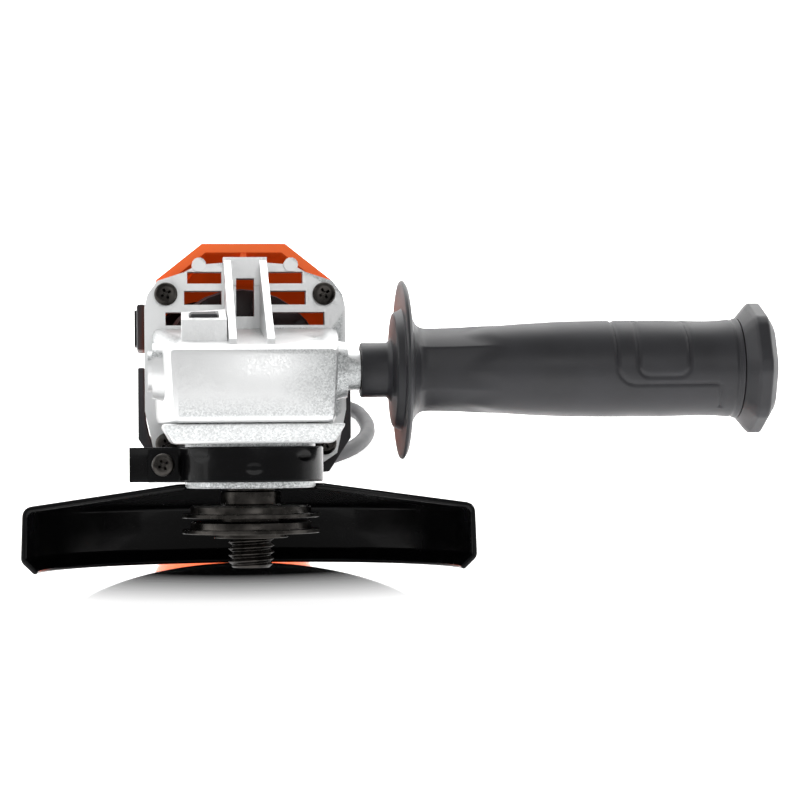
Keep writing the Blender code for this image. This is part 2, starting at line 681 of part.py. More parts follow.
def guard():
    """Half-moon guard: a turned dish of sheet, kept behind the spindle, on a clamp band with two lugs."""
    sheet = GUARD_SHEET
    bore = COLLAR_RADIUS + 0.0006
    wall, lip = GUARD_RADIUS, GUARD_RADIUS - GUARD_LIP_LEAN
    shoulder = 0.0020
    shell = turned("guard_shell", [
        (bore, GUARD_ROOF_TOP_Z), (0.0225, GUARD_ROOF_TOP_Z),
        (wall - shoulder, GUARD_WALL_TOP_Z + shoulder), (wall - 0.0005, GUARD_WALL_TOP_Z + 0.0013),
        (wall, GUARD_WALL_TOP_Z), (wall, GUARD_LIP_HEIGHT), (lip + GUARD_RIM_FLAT, 0.0), (lip - sheet, 0.0),
        (lip - sheet, 0.0006), (wall - sheet, GUARD_LIP_HEIGHT + 0.0006),
        (wall - sheet, GUARD_WALL_TOP_Z - 0.0006), (wall - shoulder - sheet, GUARD_WALL_TOP_Z + 0.0002),
        (0.0225, GUARD_ROOF_TOP_Z - sheet), (bore, GUARD_ROOF_TOP_Z - sheet),
    ], BLACK_PAINT, guard_axis, steps=40)
    cut(shell, block("guard_opening", (-0.1, -0.1, -0.01), (0.1, 0.0, 0.05), parent=guard_axis))

    inner = COLLAR_RADIUS + GAP
    outer = inner + BAND_THICKNESS
    middle = (BAND_BOTTOM_Z + BAND_TOP_Z) / 2
    band = turned("guard_clamp_band", ring_profile(inner, outer, BAND_BOTTOM_Z, BAND_TOP_Z), BLACK_PAINT,
                  guard_axis, steps=48)
    slit = 0.0030
    lug = 0.0022
    front_lug = block("front_lug", (-0.0312, -slit - lug, BAND_BOTTOM_Z),
                      (-outer + 0.0014, -slit, BAND_TOP_Z), parent=guard_axis)
    rear_lug = block("rear_lug", (-LUG_REACH, slit, BAND_BOTTOM_Z + 0.0004),
                     (-outer + 0.0014, slit + lug, BAND_TOP_Z - 0.0004), parent=guard_axis)
    cut(band, block("band_slit", (-0.04, -slit, 0.0), (0.0, slit, 0.06), parent=guard_axis))
    join(band, front_lug, rear_lug)
    screw_x = -0.0267
    cut(band, rod("clamp_screw_hole", 0.0024, -0.012, 0.012, parent=guard_axis,
                  location=(screw_x, 0.0, middle), rotation=ALONG_Y, steps=SCREW_STEPS))
    pan_screw("guard_clamp_screw", 0.0035, 0.0026, 0.0021, 0.0130,
              (screw_x, -slit - lug - GAP, middle), (math.pi / 2, 0.0, 0.0), parent=guard_axis)


# ---------------------------------------------------------------- spindle lock


def spindle_lock():
    top = LOCK_BUTTON_TOP_Z
    base = LOCK_POCKET_FLOOR_Z + LOCK_TRAVEL + 0.0010

    def button_taper(corner):
        x, y, z = corner
        return (x, y, top - (0.0012 if y < 0 else 0.0)) if z > (base + top) / 2 else corner

    block("lock_button", (LOCK_X - 0.0042, -0.0054, base), (LOCK_X + 0.0042, 0.0054, top), BLACK_PLASTIC,
          taper=button_taper, bevel=0.0006)
    rod("lock_pin", LOCK_PIN_RADIUS, 0.0597, base - GAP, STEEL, location=(LOCK_PIN_X, 0.0, 0.0), steps=16,
        chamfer=0.0003)
    coil_spring("lock_spring", LOCK_PIN_RADIUS + 0.0009, 0.00035, LOCK_POCKET_FLOOR_Z + GAP,
                base - GAP, 2, tool, (LOCK_PIN_X, 0.0, 0.0), ALONG_Z)


# ---------------------------------------------------------------- motor


def along_motor(name, profile, finish, parent=motor_axis, steps=ROUND_STEPS):
    """Turned about the motor axis; the profile's heights are the tool's y."""
    return turned(name, profile, finish, parent, steps=steps)


def sector(name, inner, outer, start, end, low, high, steps=10, finish=None):
    """Part of a ring about the motor axis, between two angles measured from +X towards the top."""
    angles = [start + (end - start) * i / steps for i in range(steps + 1)]
    outline = [(outer * math.cos(a), -outer * math.sin(a)) for a in angles]
    outline += [(inner * math.cos(a), -inner * math.sin(a)) for a in reversed(angles)]
    return plate(name, outline, low, high, finish, motor_axis)


def armature():
    along_motor("armature_shaft", [
        (0.0, 0.1480), (REAR_BEARING[0] - 0.0002, 0.1480), (REAR_BEARING[0] - 0.0002, REAR_BEARING_Y - GAP),
        (0.0048, REAR_BEARING_Y - GAP), (0.0048, 0.0340),
        (FRONT_BEARING[0] - 0.0002, 0.0340), (FRONT_BEARING[0] - 0.0002, 0.0248),
        (0.0026, 0.0248), (0.0026, 0.0142), (0.0, 0.0142),
    ], STEEL, steps=24)
    slots = 12
    outline = []
    for slot in range(slots):
        for offset, radius in ((-0.42, 1.0), (-0.14, 1.0), (-0.14, 0.66), (0.14, 0.66), (0.14, 1.0)):
            angle = 2 * math.pi * (slot + offset + 0.42) / slots
            outline.append((ARMATURE_RADIUS * radius * math.cos(angle),
                            ARMATURE_RADIUS * radius * math.sin(angle)))
    bore = 0.0048 + GAP
    core = plate("armature_core", outline, STATOR_FRONT_Y, STATOR_REAR_Y, LAMINATION, motor_axis)
    cut(core, rod("core_bore", bore, 0.05, 0.14, parent=motor_axis, steps=20))
    for name, low, high in (("armature_winding_front", STATOR_FRONT_Y - 0.0090, STATOR_FRONT_Y - GAP),
                            ("armature_winding_rear", STATOR_REAR_Y + GAP, STATOR_REAR_Y + 0.0090)):
        along_motor(name, [(0.0130, high), (0.0152, high - 0.0022), (0.0152, low + 0.0022), (0.0130, low),
                           (bore, low), (bore, high)], COPPER, steps=32)
    along_motor("commutator", ring_profile(bore, COMMUTATOR_RADIUS, BRUSH_Y - 0.0070, BRUSH_Y + 0.0070),
                COPPER, steps=24)
    fan = along_motor("fan", [
        (FAN_RADIUS, FAN_FRONT_Y + 0.0100), (FAN_RADIUS, FAN_FRONT_Y + 0.0085),
        (0.0090, FAN_FRONT_Y + 0.0070), (0.0090, FAN_FRONT_Y), (bore, FAN_FRONT_Y),
        (bore, FAN_FRONT_Y + 0.0100),
    ], BLACK_PLASTIC, steps=28)
    blades = 9
    for number in range(blades):
        angle = 2 * math.pi * number / blades
        blade = add_object(f"fan_blade_{number}", block_mesh(
            f"fan_blade_{number}", (0.0085, -0.0008, FAN_FRONT_Y + 0.0010),
            (FAN_RADIUS - 0.0010, 0.0008, FAN_FRONT_Y + 0.0092)), None, motor_axis,
            rotation=(0.0, 0.0, angle))
        join(fan, blade)
    along_motor("front_bearing", ring_profile(FRONT_BEARING[0], FRONT_BEARING[1], FRONT_BEARING_Y,
                                              FRONT_BEARING_Y + FRONT_BEARING[2]), STEEL, steps=32)
    along_motor("rear_bearing", ring_profile(REAR_BEARING[0], REAR_BEARING[1], REAR_BEARING_Y,
                                             REAR_BEARING_Y + REAR_BEARING[2]), STEEL, steps=32)


COIL_EDGE = math.radians(38)


def field():
    """Stator stack with a winding window on each side, and a saddle-shaped coil round each pole."""
    stack = along_motor("stator_core", ring_profile(STATOR_BORE, STATOR_RADIUS, STATOR_FRONT_Y,
                                                    STATOR_REAR_Y), LAMINATION)
    for number in range(2):
        start = number * math.pi - COIL_EDGE
        cut(stack, sector(f"winding_window_{number}", STATOR_BORE - 0.003, 0.0256, start,
                          start + 2 * COIL_EDGE, STATOR_FRONT_Y - 0.01, STATOR_REAR_Y + 0.01))
    margin = math.radians(2)
    for number, name in enumerate(("field_coil_upper", "field_coil_lower")):
        start = number * math.pi
        coil = sector(name, 0.0193, 0.0252, start + margin, start + math.pi - margin,
                      STATOR_FRONT_Y - 0.0070, STATOR_REAR_Y + 0.0070, 16, COPPER)
        cut(coil, sector(name + "_pole", 0.0150, 0.0300, start + COIL_EDGE - margin,
                         start + math.pi - COIL_EDGE + margin, STATOR_FRONT_Y - GAP,
                         STATOR_REAR_Y + GAP, 10))


def brush_gear():
    """On each side: a carbon brush pressed on the commutator, its spring, its brass box and a cap."""
    outer = HOUSING_HALF + 0.0006
    for side, word in ((1, "right"), (-1, "left")):
        turn = (0.0, side * math.pi / 2, 0.0)
        place = (0.0, BRUSH_Y, MOTOR_AXIS_Z)
        low, high = COMMUTATOR_RADIUS + GAP, 0.0215
        add_object(f"carbon_brush_{word}", block_mesh("brush", (-0.0040, -0.0026, low),
                                                      (0.0040, 0.0026, high)), CARBON, tool, place, turn)
        holder = add_object(f"brush_holder_{word}", block_mesh("holder", (-0.0056, -0.0042, 0.0135),
                                                               (0.0056, 0.0042, 0.0272)), BRASS, tool,
                            place, turn)
        way = block_mesh("way", (-0.0043, -0.0029, 0.0), (0.0043, 0.0029, 0.05))
        cut(holder, add_object(f"brush_way_{word}", way, None, tool, place, turn))
        coil_spring(f"brush_spring_{word}", 0.0021, 0.00035, high + GAP, outer - 0.0046, 3, tool, place,
                    turn)
        cap = turned(f"brush_cap_{word}", [(0.0, outer), (0.0062, outer), (0.0062, outer - 0.0018),
                                           (0.0048, outer - 0.0018), (0.0048, outer - 0.0040),
                                           (0.0, outer - 0.0040)], BLACK_PLASTIC, tool, place, turn, 24)
        cut(cap, add_object(f"cap_slot_{word}", block_mesh("slot", (-0.0007, -0.0048, outer - 0.0010),
                                                           (0.0007, 0.0048, outer + 0.001)), None, tool,
                            place, turn))


# ---------------------------------------------------------------- housing


def ring_points(y, half, top, bottom, power, count=36):
    """Rounded-square ring about the motor axis: half width, top and bottom z, and a squareness power."""
    points = []
    for i in range(count):
        angle = 2 * math.pi * (i + 0.5) / count
        c, s = math.cos(angle), math.sin(angle)
        x = math.copysign(abs(c) ** (2 / power), c) * half
        reach = top - MOTOR_AXIS_Z if s > 0 else MOTOR_AXIS_Z - bottom
        points.append((x, y, MOTOR_AXIS_Z + math.copysign(abs(s) ** (2 / power), s) * reach))
    return points


def ring_stack(name, rows, inset=0.0, finish=None):
    """Loft of ring_points rows (y, half, top, bottom, power), each drawn in by the inset."""
    sections = [ring_points(y, half - inset, top - inset, bottom + inset, power)
                for y, half, top, bottom, power in rows]
    return loft(name, sections, finish)


FRONT_Y = FLANGE_REAR_Y + GAP
HOUSING_ROWS = [
    (FRONT_Y, HOUSING_HALF + 0.0004, 0.0950, 0.0314, 4.0),
    (0.0600, HOUSING_HALF, 0.0948, 0.0316, 4.0),
    (0.1350, HOUSING_HALF, 0.0948, 0.0316, 4.0),
    (HOUSING_END_Y, HOUSING_HALF - 0.0004, 0.0944, 0.0320, 3.6),
]
BRACKET_Y = (0.1390, 0.1490)
BOSS_RADIUS = 0.0040
ROD_Z = (0.0770, 0.0810)
STEM_Y = (0.0900, 0.1000)


def hood_sections(inset, front, back):
    """Trapezoid hood over the head's air outlet, running down into the housing's back."""
    rows = []
    for y, top, flat, corner_x, corner_z in ((front, HOOD_TOP_Z, 0.0135, 0.0284, 0.0925),
                                             (0.0560, HOOD_TOP_Z - 0.0012, 0.0130, 0.0275, 0.0915),
                                             (back, 0.0930, 0.0090, 0.0210, 0.0885)):
        low = 0.0780
        half = [(flat - inset * 0.4, top - inset), (corner_x - inset, corner_z - inset * 0.5),
                (corner_x + 0.0010 - inset, low + 0.004)]
        ring = [(-x, y, z) for x, z in reversed(half)] + [(x, y, z) for x, z in half]
        rows.append(ring + [(corner_x - 0.0080, y, low), (-corner_x + 0.0080, y, low)])
    return rows


def motor_housing():
    housing = ring_stack("motor_housing", HOUSING_ROWS, finish=ORANGE)
    hood = loft("hood", hood_sections(0.0, HOOD_FRONT_Y, HOOD_REAR_Y))
    bosses = [rod(f"case_screw_boss_{number}", BOSS_RADIUS, FRONT_Y, 0.0620, location=(x, 0.0, z),
                  rotation=ALONG_Y, steps=16) for number, (x, z) in enumerate(CASE_SCREWS)]
    inner_rows = [(y, *rest) for y, *rest in HOUSING_ROWS]
    inner_rows[0] = (FRONT_Y - 0.01, *inner_rows[0][1:])
    inner_rows[-1] = (HOUSING_END_Y + 0.01, *inner_rows[-1][1:])
    join(housing, hood)
    cut(housing, ring_stack("housing_inside", inner_rows, HOUSING_WALL))
    cut(housing, loft("hood_inside", hood_sections(HOOD_WALL, HOOD_FRONT_Y - 0.01, HOOD_REAR_Y - 0.008)))
    join(housing, block("hood_rib", (-0.00095, HOOD_FRONT_Y + 0.0010, 0.0935),
                        (0.00095, 0.0600, HOOD_TOP_Z - 0.0012)), *bosses)
    for number, (x, z) in enumerate(CASE_SCREWS):
        cut(housing, rod(f"boss_thread_{number}", 0.0022, 0.03, 0.0615, location=(x, 0.0, z),
                         rotation=ALONG_Y, steps=SCREW_STEPS))
    for side, word in ((1, "right"), (-1, "left")):
        turn = (0.0, side * math.pi / 2, 0.0)
        place = (0.0, BRUSH_Y, MOTOR_AXIS_Z)
        cut(housing, rod(f"cap_thread_{word}", 0.0051, 0.0250, 0.0400, location=place, rotation=turn),
            rod(f"cap_recess_{word}", 0.0066, HOUSING_HALF - 0.0014, 0.0430, location=place, rotation=turn))
    cut(housing, block("slider_slot", (-0.0400, STEM_Y[0] - SWITCH_TRAVEL - 0.0004, ROD_Z[0] - 0.0004),
                       (-0.0270, STEM_Y[1] + 0.0004, ROD_Z[1] + 0.0004)))
    return housing


def lower_skirt():
    """Dark ring that wraps the lower corners between the head's flange and the housing."""
    w = FLANGE_HALF_WIDTH + 0.0022
    outer = mirrored([(w, 0.0640), (w, 0.0410), (w - 0.0072, 0.0300), (0.0100, 0.0288)])
    skirt = upright_plate("lower_skirt", outer, FLANGE_REAR_Y + 0.0012, FLANGE_REAR_Y + SKIRT_DEPTH,
                          BLACK_PLASTIC)
    cut(skirt, ring_stack("skirt_inside", [(FRONT_Y - 0.02, *HOUSING_ROWS[0][1:]),
                                           (FRONT_Y + 0.03, *HOUSING_ROWS[0][1:])], -GAP))
    for number, (x, z) in enumerate(CASE_SCREWS[2:]):
        cut(skirt, rod(f"skirt_boss_way_{number}", BOSS_RADIUS + GAP, 0.02, 0.08, location=(x, 0.0, z),
                       rotation=ALONG_Y, steps=16))
    return skirt


def bearing_bracket():
    ring = along_motor("bearing_bracket", ring_profile(REAR_BEARING[1] + GAP, 0.0133, *BRACKET_Y),
                       BLACK_PLASTIC)
    reach = HOUSING_HALF - HOUSING_WALL - 0.0010
    for side in (1, -1):
        ends = sorted((side * (REAR_BEARING[1] + 0.0016), side * reach))
        join(ring, block(f"bracket_arm_{side}", (ends[0], BRACKET_Y[0] + 0.0006, MOTOR_AXIS_Z - 0.0060),
                         (ends[1], BRACKET_Y[1] - 0.0006, MOTOR_AXIS_Z + 0.0060)))
    return ring


REAR_ROWS = [
    (HOUSING_END_Y + GAP, HOUSING_HALF - 0.0006, 0.0942, 0.0322, 3.6),
    (0.1620, 0.0285, 0.0918, 0.0334, 3.4),
    (0.1850, 0.0268, 0.0895, HEEL_Z + 0.0002, 3.2),
    (HEEL_Y, 0.0272, 0.0905, HEEL_Z, 3.2),
    (0.2410, 0.0262, 0.0890, HEEL_Z + 0.0030, 3.0),
    (BODY_END_Y, 0.0225, 0.0850, HEEL_Z + 0.0075, 2.8),
]
COVER_SCREW_PLACES = [(0.1720, 0.0445), (0.2240, 0.0790)]


def rear_covers():
    inner_rows = [(REAR_ROWS[0][0] - 0.01, *REAR_ROWS[0][1:]), *REAR_ROWS[:4],
                  (0.2418, 0.0258, 0.0885, HEEL_Z + 0.0035, 3.0)]
    bore = rod("cord_guard_bore", 0.0066, 0.2300, 0.2600, location=(0.0, 0.0, CORD_GUARD_Z),
               rotation=ALONG_Y, steps=24)
    inside = ring_stack("cover_inside", inner_rows, HOUSING_WALL)
    for side, word in ((-1, "left"), (1, "right")):
        cover = ring_stack(f"rear_cover_{word}", REAR_ROWS, finish=BLACK_PLASTIC)
        cut(cover, inside, bore)
        for number, (y, z) in enumerate(COVER_SCREW_PLACES):
            radius = 0.0052 if side < 0 else 0.0040
            join(cover, rod(f"cover_boss_{word}_{number}", radius, 0.0, 0.0252,
                            location=(0.0, y, z), rotation=(0.0, side * math.pi / 2, 0.0), steps=20))
            if side < 0:
                cut(cover, rod(f"cover_head_seat_{number}", 0.0038, 0.0165, 0.0400, location=(0.0, y, z),
                               rotation=(0.0, -math.pi / 2, 0.0), steps=20),
                    rod(f"cover_screw_way_{number}", 0.0021, -0.01, 0.0200, location=(0.0, y, z),
                        rotation=(0.0, -math.pi / 2, 0.0), steps=SCREW_STEPS))
            else:
                cut(cover, rod(f"cover_screw_blind_{number}", 0.0021, -0.01, 0.0145, location=(0.0, y, z),
                               rotation=ALONG_X, steps=SCREW_STEPS))
        other = sorted((-side * 0.06, side * GAP / 2))
        cut(cover, block(f"split_{word}", (other[0], 0.1, 0.0), (other[1], 0.3, 0.15)))
        for slot in range(5):
            y = 0.1680 + 0.0062 * slot
            ends = sorted((side * 0.0215, side * 0.0400))
            cut(cover, block(f"air_inlet_{word}_{slot}", (ends[0], y, 0.0530),
                             (ends[1], y + 0.0026, 0.0760)))
    for number, (y, z) in enumerate(COVER_SCREW_PLACES):
        pan_screw(f"rear_cover_screw_{number + 1}", 0.0034, 0.0024, 0.0018, 0.0290,
                  (-0.0165 - GAP, y, z), (0.0, -math.pi / 2, 0.0))


def switch_group():
    block("switch_box", (-0.0090, 0.1656, 0.0540), (0.0090, 0.1960, 0.0840), BLACK_PLASTIC, bevel=0.0008)
    inner_x = HOUSING_HALF - HOUSING_WALL - 0.0026
    arm_y = HOUSING_END_Y + 0.0006
    outline = [(-inner_x, 0.0820), (-inner_x + 0.0016, 0.0820), (-inner_x + 0.0016, arm_y), (-0.0060, arm_y),
               (-0.0060, 0.1653), (-0.0090, 0.1653), (-0.0090, arm_y + 0.0030),
               (-inner_x + 0.0040, arm_y + 0.0030),
               (-inner_x, arm_y - 0.0010)]
    plate("switch_rod", outline, *ROD_Z, STEEL)
    low_x = HOUSING_HALF + 0.0003
    slider = block("switch_slider", (-low_x - 0.0030, 0.0800, 0.0712), (-low_x, 0.1100, 0.0868),
                   BLACK_PLASTIC, bevel=0.0009)
    join(slider, block("slider_stem", (-low_x - 0.0010, STEM_Y[0], ROD_Z[0]),
                       (-inner_x - GAP, STEM_Y[1], ROD_Z[1])))
    for ridge in range(5):
        y = 0.0860 + 0.0040 * ridge
        join(slider, block(f"slider_ridge_{ridge}", (-low_x - 0.0038, y, 0.0730),
                           (-low_x - 0.0020, y + 0.0016, 0.0850)))


# ---------------------------------------------------------------- side handle


def side_handle():
    """Grip turned about the handle axis, with its finger flange; heights are the tool's x."""
    neck, rim = HANDLE_NECK_RADIUS, HANDLE_FLANGE_RADIUS
    start = HANDLE_BOSS_END_X + GAP
    bore = STUD_RADIUS + GAP
    turned("side_handle_grip", [
        (GRIP_RADIUS - 0.0004, GRIP_END_X), (GRIP_RADIUS, 0.1280), (GRIP_RADIUS - 0.0002, 0.0970),
        (GRIP_FRONT_RADIUS + 0.0008, 0.0720), (GRIP_FRONT_RADIUS, 0.0560), (0.0150, GRIP_START_X),
        (0.0230, GRIP_START_X - 0.0008), (rim - 0.0006, HANDLE_FLANGE_X + 0.0010),
        (rim, HANDLE_FLANGE_X), (rim - 0.0012, HANDLE_FLANGE_X - 0.0004), (0.0190, HANDLE_FLANGE_X + 0.0002),
        (0.0178, HANDLE_FLANGE_X - 0.0026), (neck + 0.0014, HANDLE_FLANGE_X - 0.0034),
        (neck, HANDLE_FLANGE_X - 0.0048), (neck, start), (bore, start), (bore, 0.0620),
        (bore + 0.004, 0.0625),
        (bore + 0.004, GRIP_END_X),
    ], BLACK_PLASTIC, handle_axis, steps=28)
    rod("side_handle_stud", STUD_RADIUS, 0.0240, 0.0615, STEEL, handle_axis, steps=20, chamfer=0.0006)
    half = END_CAP_HEIGHT / 2
    corner = half * math.tan(math.pi / 8)
    outline = [(half, corner), (corner, half), (-corner, half), (-half, corner),
               (-half, -corner), (-corner, -half), (corner, -half), (half, -corner)]
    cap = plate("side_handle_end_cap", outline, GRIP_END_X + GAP, HANDLE_END_X, BLACK_PLASTIC, handle_axis)
    edge = cap.modifiers.new("round_edges", "BEVEL")
    edge.width = 0.0022
    edge.segments = 2
    edge.limit_method = "ANGLE"


# ---------------------------------------------------------------- cord


def smooth(points, steps):
    """Points along a Catmull-Rom curve through the route's own points."""
    ends = [points[0] * 2 - points[1], *points, points[-1] * 2 - points[-2]]
    made = []
    for a, b, c, d in zip(ends, ends[1:], ends[2:], ends[3:]):
        for i in range(steps):
            t = i / steps
            made.append(0.5 * ((2 * b) + (c - a) * t + (2 * a - 5 * b + 4 * c - d) * t ** 2
                               + (3 * b - a - 3 * c + d) * t ** 3))
    return made + [points[-1]]


def cord():
    turned("cord_guard", [(0.0, CORD_GUARD_END_Y), (0.0043, CORD_GUARD_END_Y),
                          (0.0046, CORD_GUARD_END_Y - 0.0008), (0.0062, 0.2410), (0.0088, 0.2390),
                          (0.0088, 0.2365), (0.0, 0.2365)],
           RUBBER, tool, (0.0, 0.0, CORD_GUARD_Z), ALONG_Y, 24)
    out = Vector((0.0, math.cos(TILT), -math.sin(TILT)))
    exit_at = Vector((0.0, CORD_GUARD_END_Y * math.cos(TILT) + CORD_GUARD_Z * math.sin(TILT),
                      -CORD_GUARD_END_Y * math.sin(TILT) + CORD_GUARD_Z * math.cos(TILT) + LIFT))
    exit_at += out * GAP
    floor = CORD_RADIUS + 0.0002
    route = [exit_at, exit_at + out * 0.014]
    for x, y, lift in ((0.0030, 0.3240, 0.0045), (0.0130, 0.3410, 0.0005), (0.0300, 0.3495, 0.0),
                       (0.0470, 0.3430, 0.0), (0.0580, 0.3230, 0.0), (0.0605, 0.3000, 0.0),
                       (0.0600, 0.2780, 0.0), (0.0560, 0.2560, 0.0), (0.0470, 0.2330, 0.0),
                       (0.0310, 0.2120, 0.0), (0.0090, 0.2010, 0.0), (-0.0120, 0.2060, 0.0),
                       (-0.0240, 0.2250, 0.0), (-0.0268, 0.2500, 0.0), (-0.0268, 0.2800, 0.0),
                       (-0.0275, 0.3150, 0.0), (-0.0300, 0.3500, 0.0), (-0.0330, 0.3860, 0.0)):
        route.append(Vector((x, y, floor + lift)))
    tube("cord", smooth(route, 3), CORD_RADIUS, RUBBER, bench)
    chamfer = 0.0030
    turned("cord_coil", [
        (COIL_OUTER_RADIUS - chamfer, COIL_HEIGHT), (COIL_OUTER_RADIUS, COIL_HEIGHT - chamfer),
        (COIL_OUTER_RADIUS, chamfer), (COIL_OUTER_RADIUS - chamfer, 0.0001),
        (COIL_INNER_RADIUS + chamfer, 0.0001), (COIL_INNER_RADIUS, chamfer),
        (COIL_INNER_RADIUS, COIL_HEIGHT - chamfer), (COIL_INNER_RADIUS + chamfer, COIL_HEIGHT),
    ], RUBBER, bench, (*COIL_CENTRE, 0.0), steps=28)


def plug():
    """Two-pin mains plug lying on the coil's right side."""
    on_ring = (COIL_INNER_RADIUS + COIL_OUTER_RADIUS) / 2
    seat = empty("plug_seat", bench, (COIL_CENTRE[0] + on_ring - 0.0060, COIL_CENTRE[1] - 0.0060,
                                      COIL_HEIGHT + GAP))
    body = block("plug", (-0.0120, -0.0130, 0.0), (0.0120, 0.0200, 0.0150), RUBBER, seat, bevel=0.0030)
    for side in (1, -1):
        join(body, rod(f"plug_pin_{side}", 0.0020, -0.0320, -0.0080, parent=seat,
                       location=(side * 0.0080, 0.0, 0.0075), rotation=ALONG_Y, steps=14, chamfer=0.0006))


def stand_over_origin():
    """Moves the bench so that the tool without its cord stands on z = 0, the middle of its box at 0, 0."""
    bpy.context.view_layer.update()
    graph = bpy.context.evaluated_depsgraph_get()
    corners = []
    for part in parts.objects:
        if part.type != "MESH" or part.name in ("cord_coil", "plug", "cord_guard"):
            continue
        evaluated = part.evaluated_get(graph)
        corners += [evaluated.matrix_world @ vertex.co for vertex in evaluated.data.vertices]
    low = [min(corner[i] for corner in corners) for i in range(3)]
    high = [max(corner[i] for corner in corners) for i in range(3)]
    bench.location = (-(low[0] + high[0]) / 2, -(low[1] + high[1]) / 2, -low[2])


gears()
gear_case()
head_covers()
spindle_group()
guard()
spindle_lock()
armature()
field()
brush_gear()
motor_housing()
lower_skirt()
bearing_bracket()
rear_covers()
switch_group()
side_handle()
cord()
plug()
stand_over_origin()
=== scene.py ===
import json
import math

import bmesh
import bpy
import numpy as np
from mathutils import Matrix, Vector


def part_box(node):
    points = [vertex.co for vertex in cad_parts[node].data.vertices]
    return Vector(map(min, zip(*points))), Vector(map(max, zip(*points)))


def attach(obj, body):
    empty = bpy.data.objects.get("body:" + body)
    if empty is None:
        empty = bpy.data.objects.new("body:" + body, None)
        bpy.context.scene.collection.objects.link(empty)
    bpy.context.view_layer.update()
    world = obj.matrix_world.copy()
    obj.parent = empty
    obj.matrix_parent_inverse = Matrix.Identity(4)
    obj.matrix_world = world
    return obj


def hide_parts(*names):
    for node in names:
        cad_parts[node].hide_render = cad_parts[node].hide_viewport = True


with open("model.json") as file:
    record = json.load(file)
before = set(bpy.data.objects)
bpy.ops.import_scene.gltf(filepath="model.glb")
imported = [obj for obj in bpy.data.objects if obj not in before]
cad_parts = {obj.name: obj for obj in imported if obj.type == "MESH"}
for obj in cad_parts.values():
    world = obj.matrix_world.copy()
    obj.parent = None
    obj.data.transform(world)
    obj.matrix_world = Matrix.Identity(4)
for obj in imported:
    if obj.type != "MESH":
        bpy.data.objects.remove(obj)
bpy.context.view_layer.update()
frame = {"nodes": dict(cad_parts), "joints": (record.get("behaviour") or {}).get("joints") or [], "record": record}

nodes = frame["nodes"]

# ---------------------------------------------------------------- the tool's own axes

MOTOR_AXIS_Z = 0.0632
joints = {joint["name"]: joint for joint in frame["joints"]}
up = Vector(joints["spindle_spin"]["axis"]).normalized()
back = Vector(joints["armature_spin"]["axis"]).normalized()
right = back.cross(up)
origin = Vector(joints["spindle_spin"]["pos_m"]) - up * MOTOR_AXIS_Z
TOOL = Matrix((right, back, up)).transposed().to_4x4()
TOOL.translation = origin
HANDLE_AXIS_Z = 0.0615
ALONG_HANDLE = TOOL @ Matrix.Translation((0, 0, HANDLE_AXIS_Z)) @ Matrix.Rotation(math.pi / 2, 4, "Y")

# ---------------------------------------------------------------- colours and nodes


def colour(hexcode):
    """Linear RGBA of an sRGB hex colour.

    Each channel is c / 12.92 below 0.04045, else ((c + 0.055) / 1.055) to the power 2.4.
    """
    parts = [int(hexcode[i:i + 2], 16) / 255 for i in (1, 3, 5)]
    return (*[c / 12.92 if c <= 0.04045 else ((c + 0.055) / 1.055) ** 2.4 for c in parts], 1.0)


def add_node(tree, kind, sockets=None, **settings):
    """Adds a node. settings are its properties; sockets gives each input a value or another node's output."""
    made = tree.nodes.new(kind)
    for name, value in settings.items():
        setattr(made, name, value)
    for socket, value in (sockets or {}).items():
        if isinstance(value, bpy.types.NodeSocket):
            tree.links.new(value, made.inputs[socket])
        else:
            made.inputs[socket].default_value = value
    return made


def start(name, roughness, **fixed):
    """A new material, its tree, its shader with the fixed sockets set, and Object coordinates."""
    made = bpy.data.materials.new(name)
    made.use_nodes = True
    tree = made.node_tree
    shader = tree.nodes["Principled BSDF"]
    shader.inputs["Roughness"].default_value = roughness
    for socket, value in fixed.items():
        shader.inputs[socket.replace("_", " ")].default_value = value
    return made, tree, shader, add_node(tree, "ShaderNodeTexCoord").outputs["Object"]


def mixed(tree, factor, low, high):
    """A colour between two, by a factor."""
    made = add_node(tree, "ShaderNodeMix", {"Factor": factor}, data_type="RGBA")
    for socket, value in ((made.inputs[6], low), (made.inputs[7], high)):
        if isinstance(value, bpy.types.NodeSocket):
            tree.links.new(value, socket)
        else:
            socket.default_value = value
    return made.outputs[2]


def spread(tree, value, low, high, to_low=0.0, to_high=1.0):
    """value moved from the range low..high to to_low..to_high, and kept inside it."""
    return add_node(tree, "ShaderNodeMapRange", {"Value": value, "From Min": low, "From Max": high,
                                                 "To Min": to_low, "To Max": to_high}).outputs["Result"]


def grain(tree, where, size_mm, detail=2.0, rough=0.5):
    """Noise whose lumps are about size_mm across."""
    return add_node(tree, "ShaderNodeTexNoise", {"Vector": where, "Scale": 1000.0 / size_mm, "Detail": detail,
                                                 "Roughness": rough}).outputs["Fac"]


def relief(tree, shader, height, depth_mm, strength=1.0, under=None):
    """Bump of that depth on the shader."""
    sockets = {"Height": height, "Distance": depth_mm / 1000.0, "Strength": strength}
    if under is not None:
        sockets["Normal"] = under
    made = add_node(tree, "ShaderNodeBump", sockets).outputs["Normal"]
    tree.links.new(made, shader.inputs["Normal"])
    return made


# ---------------------------------------------------------------- materials


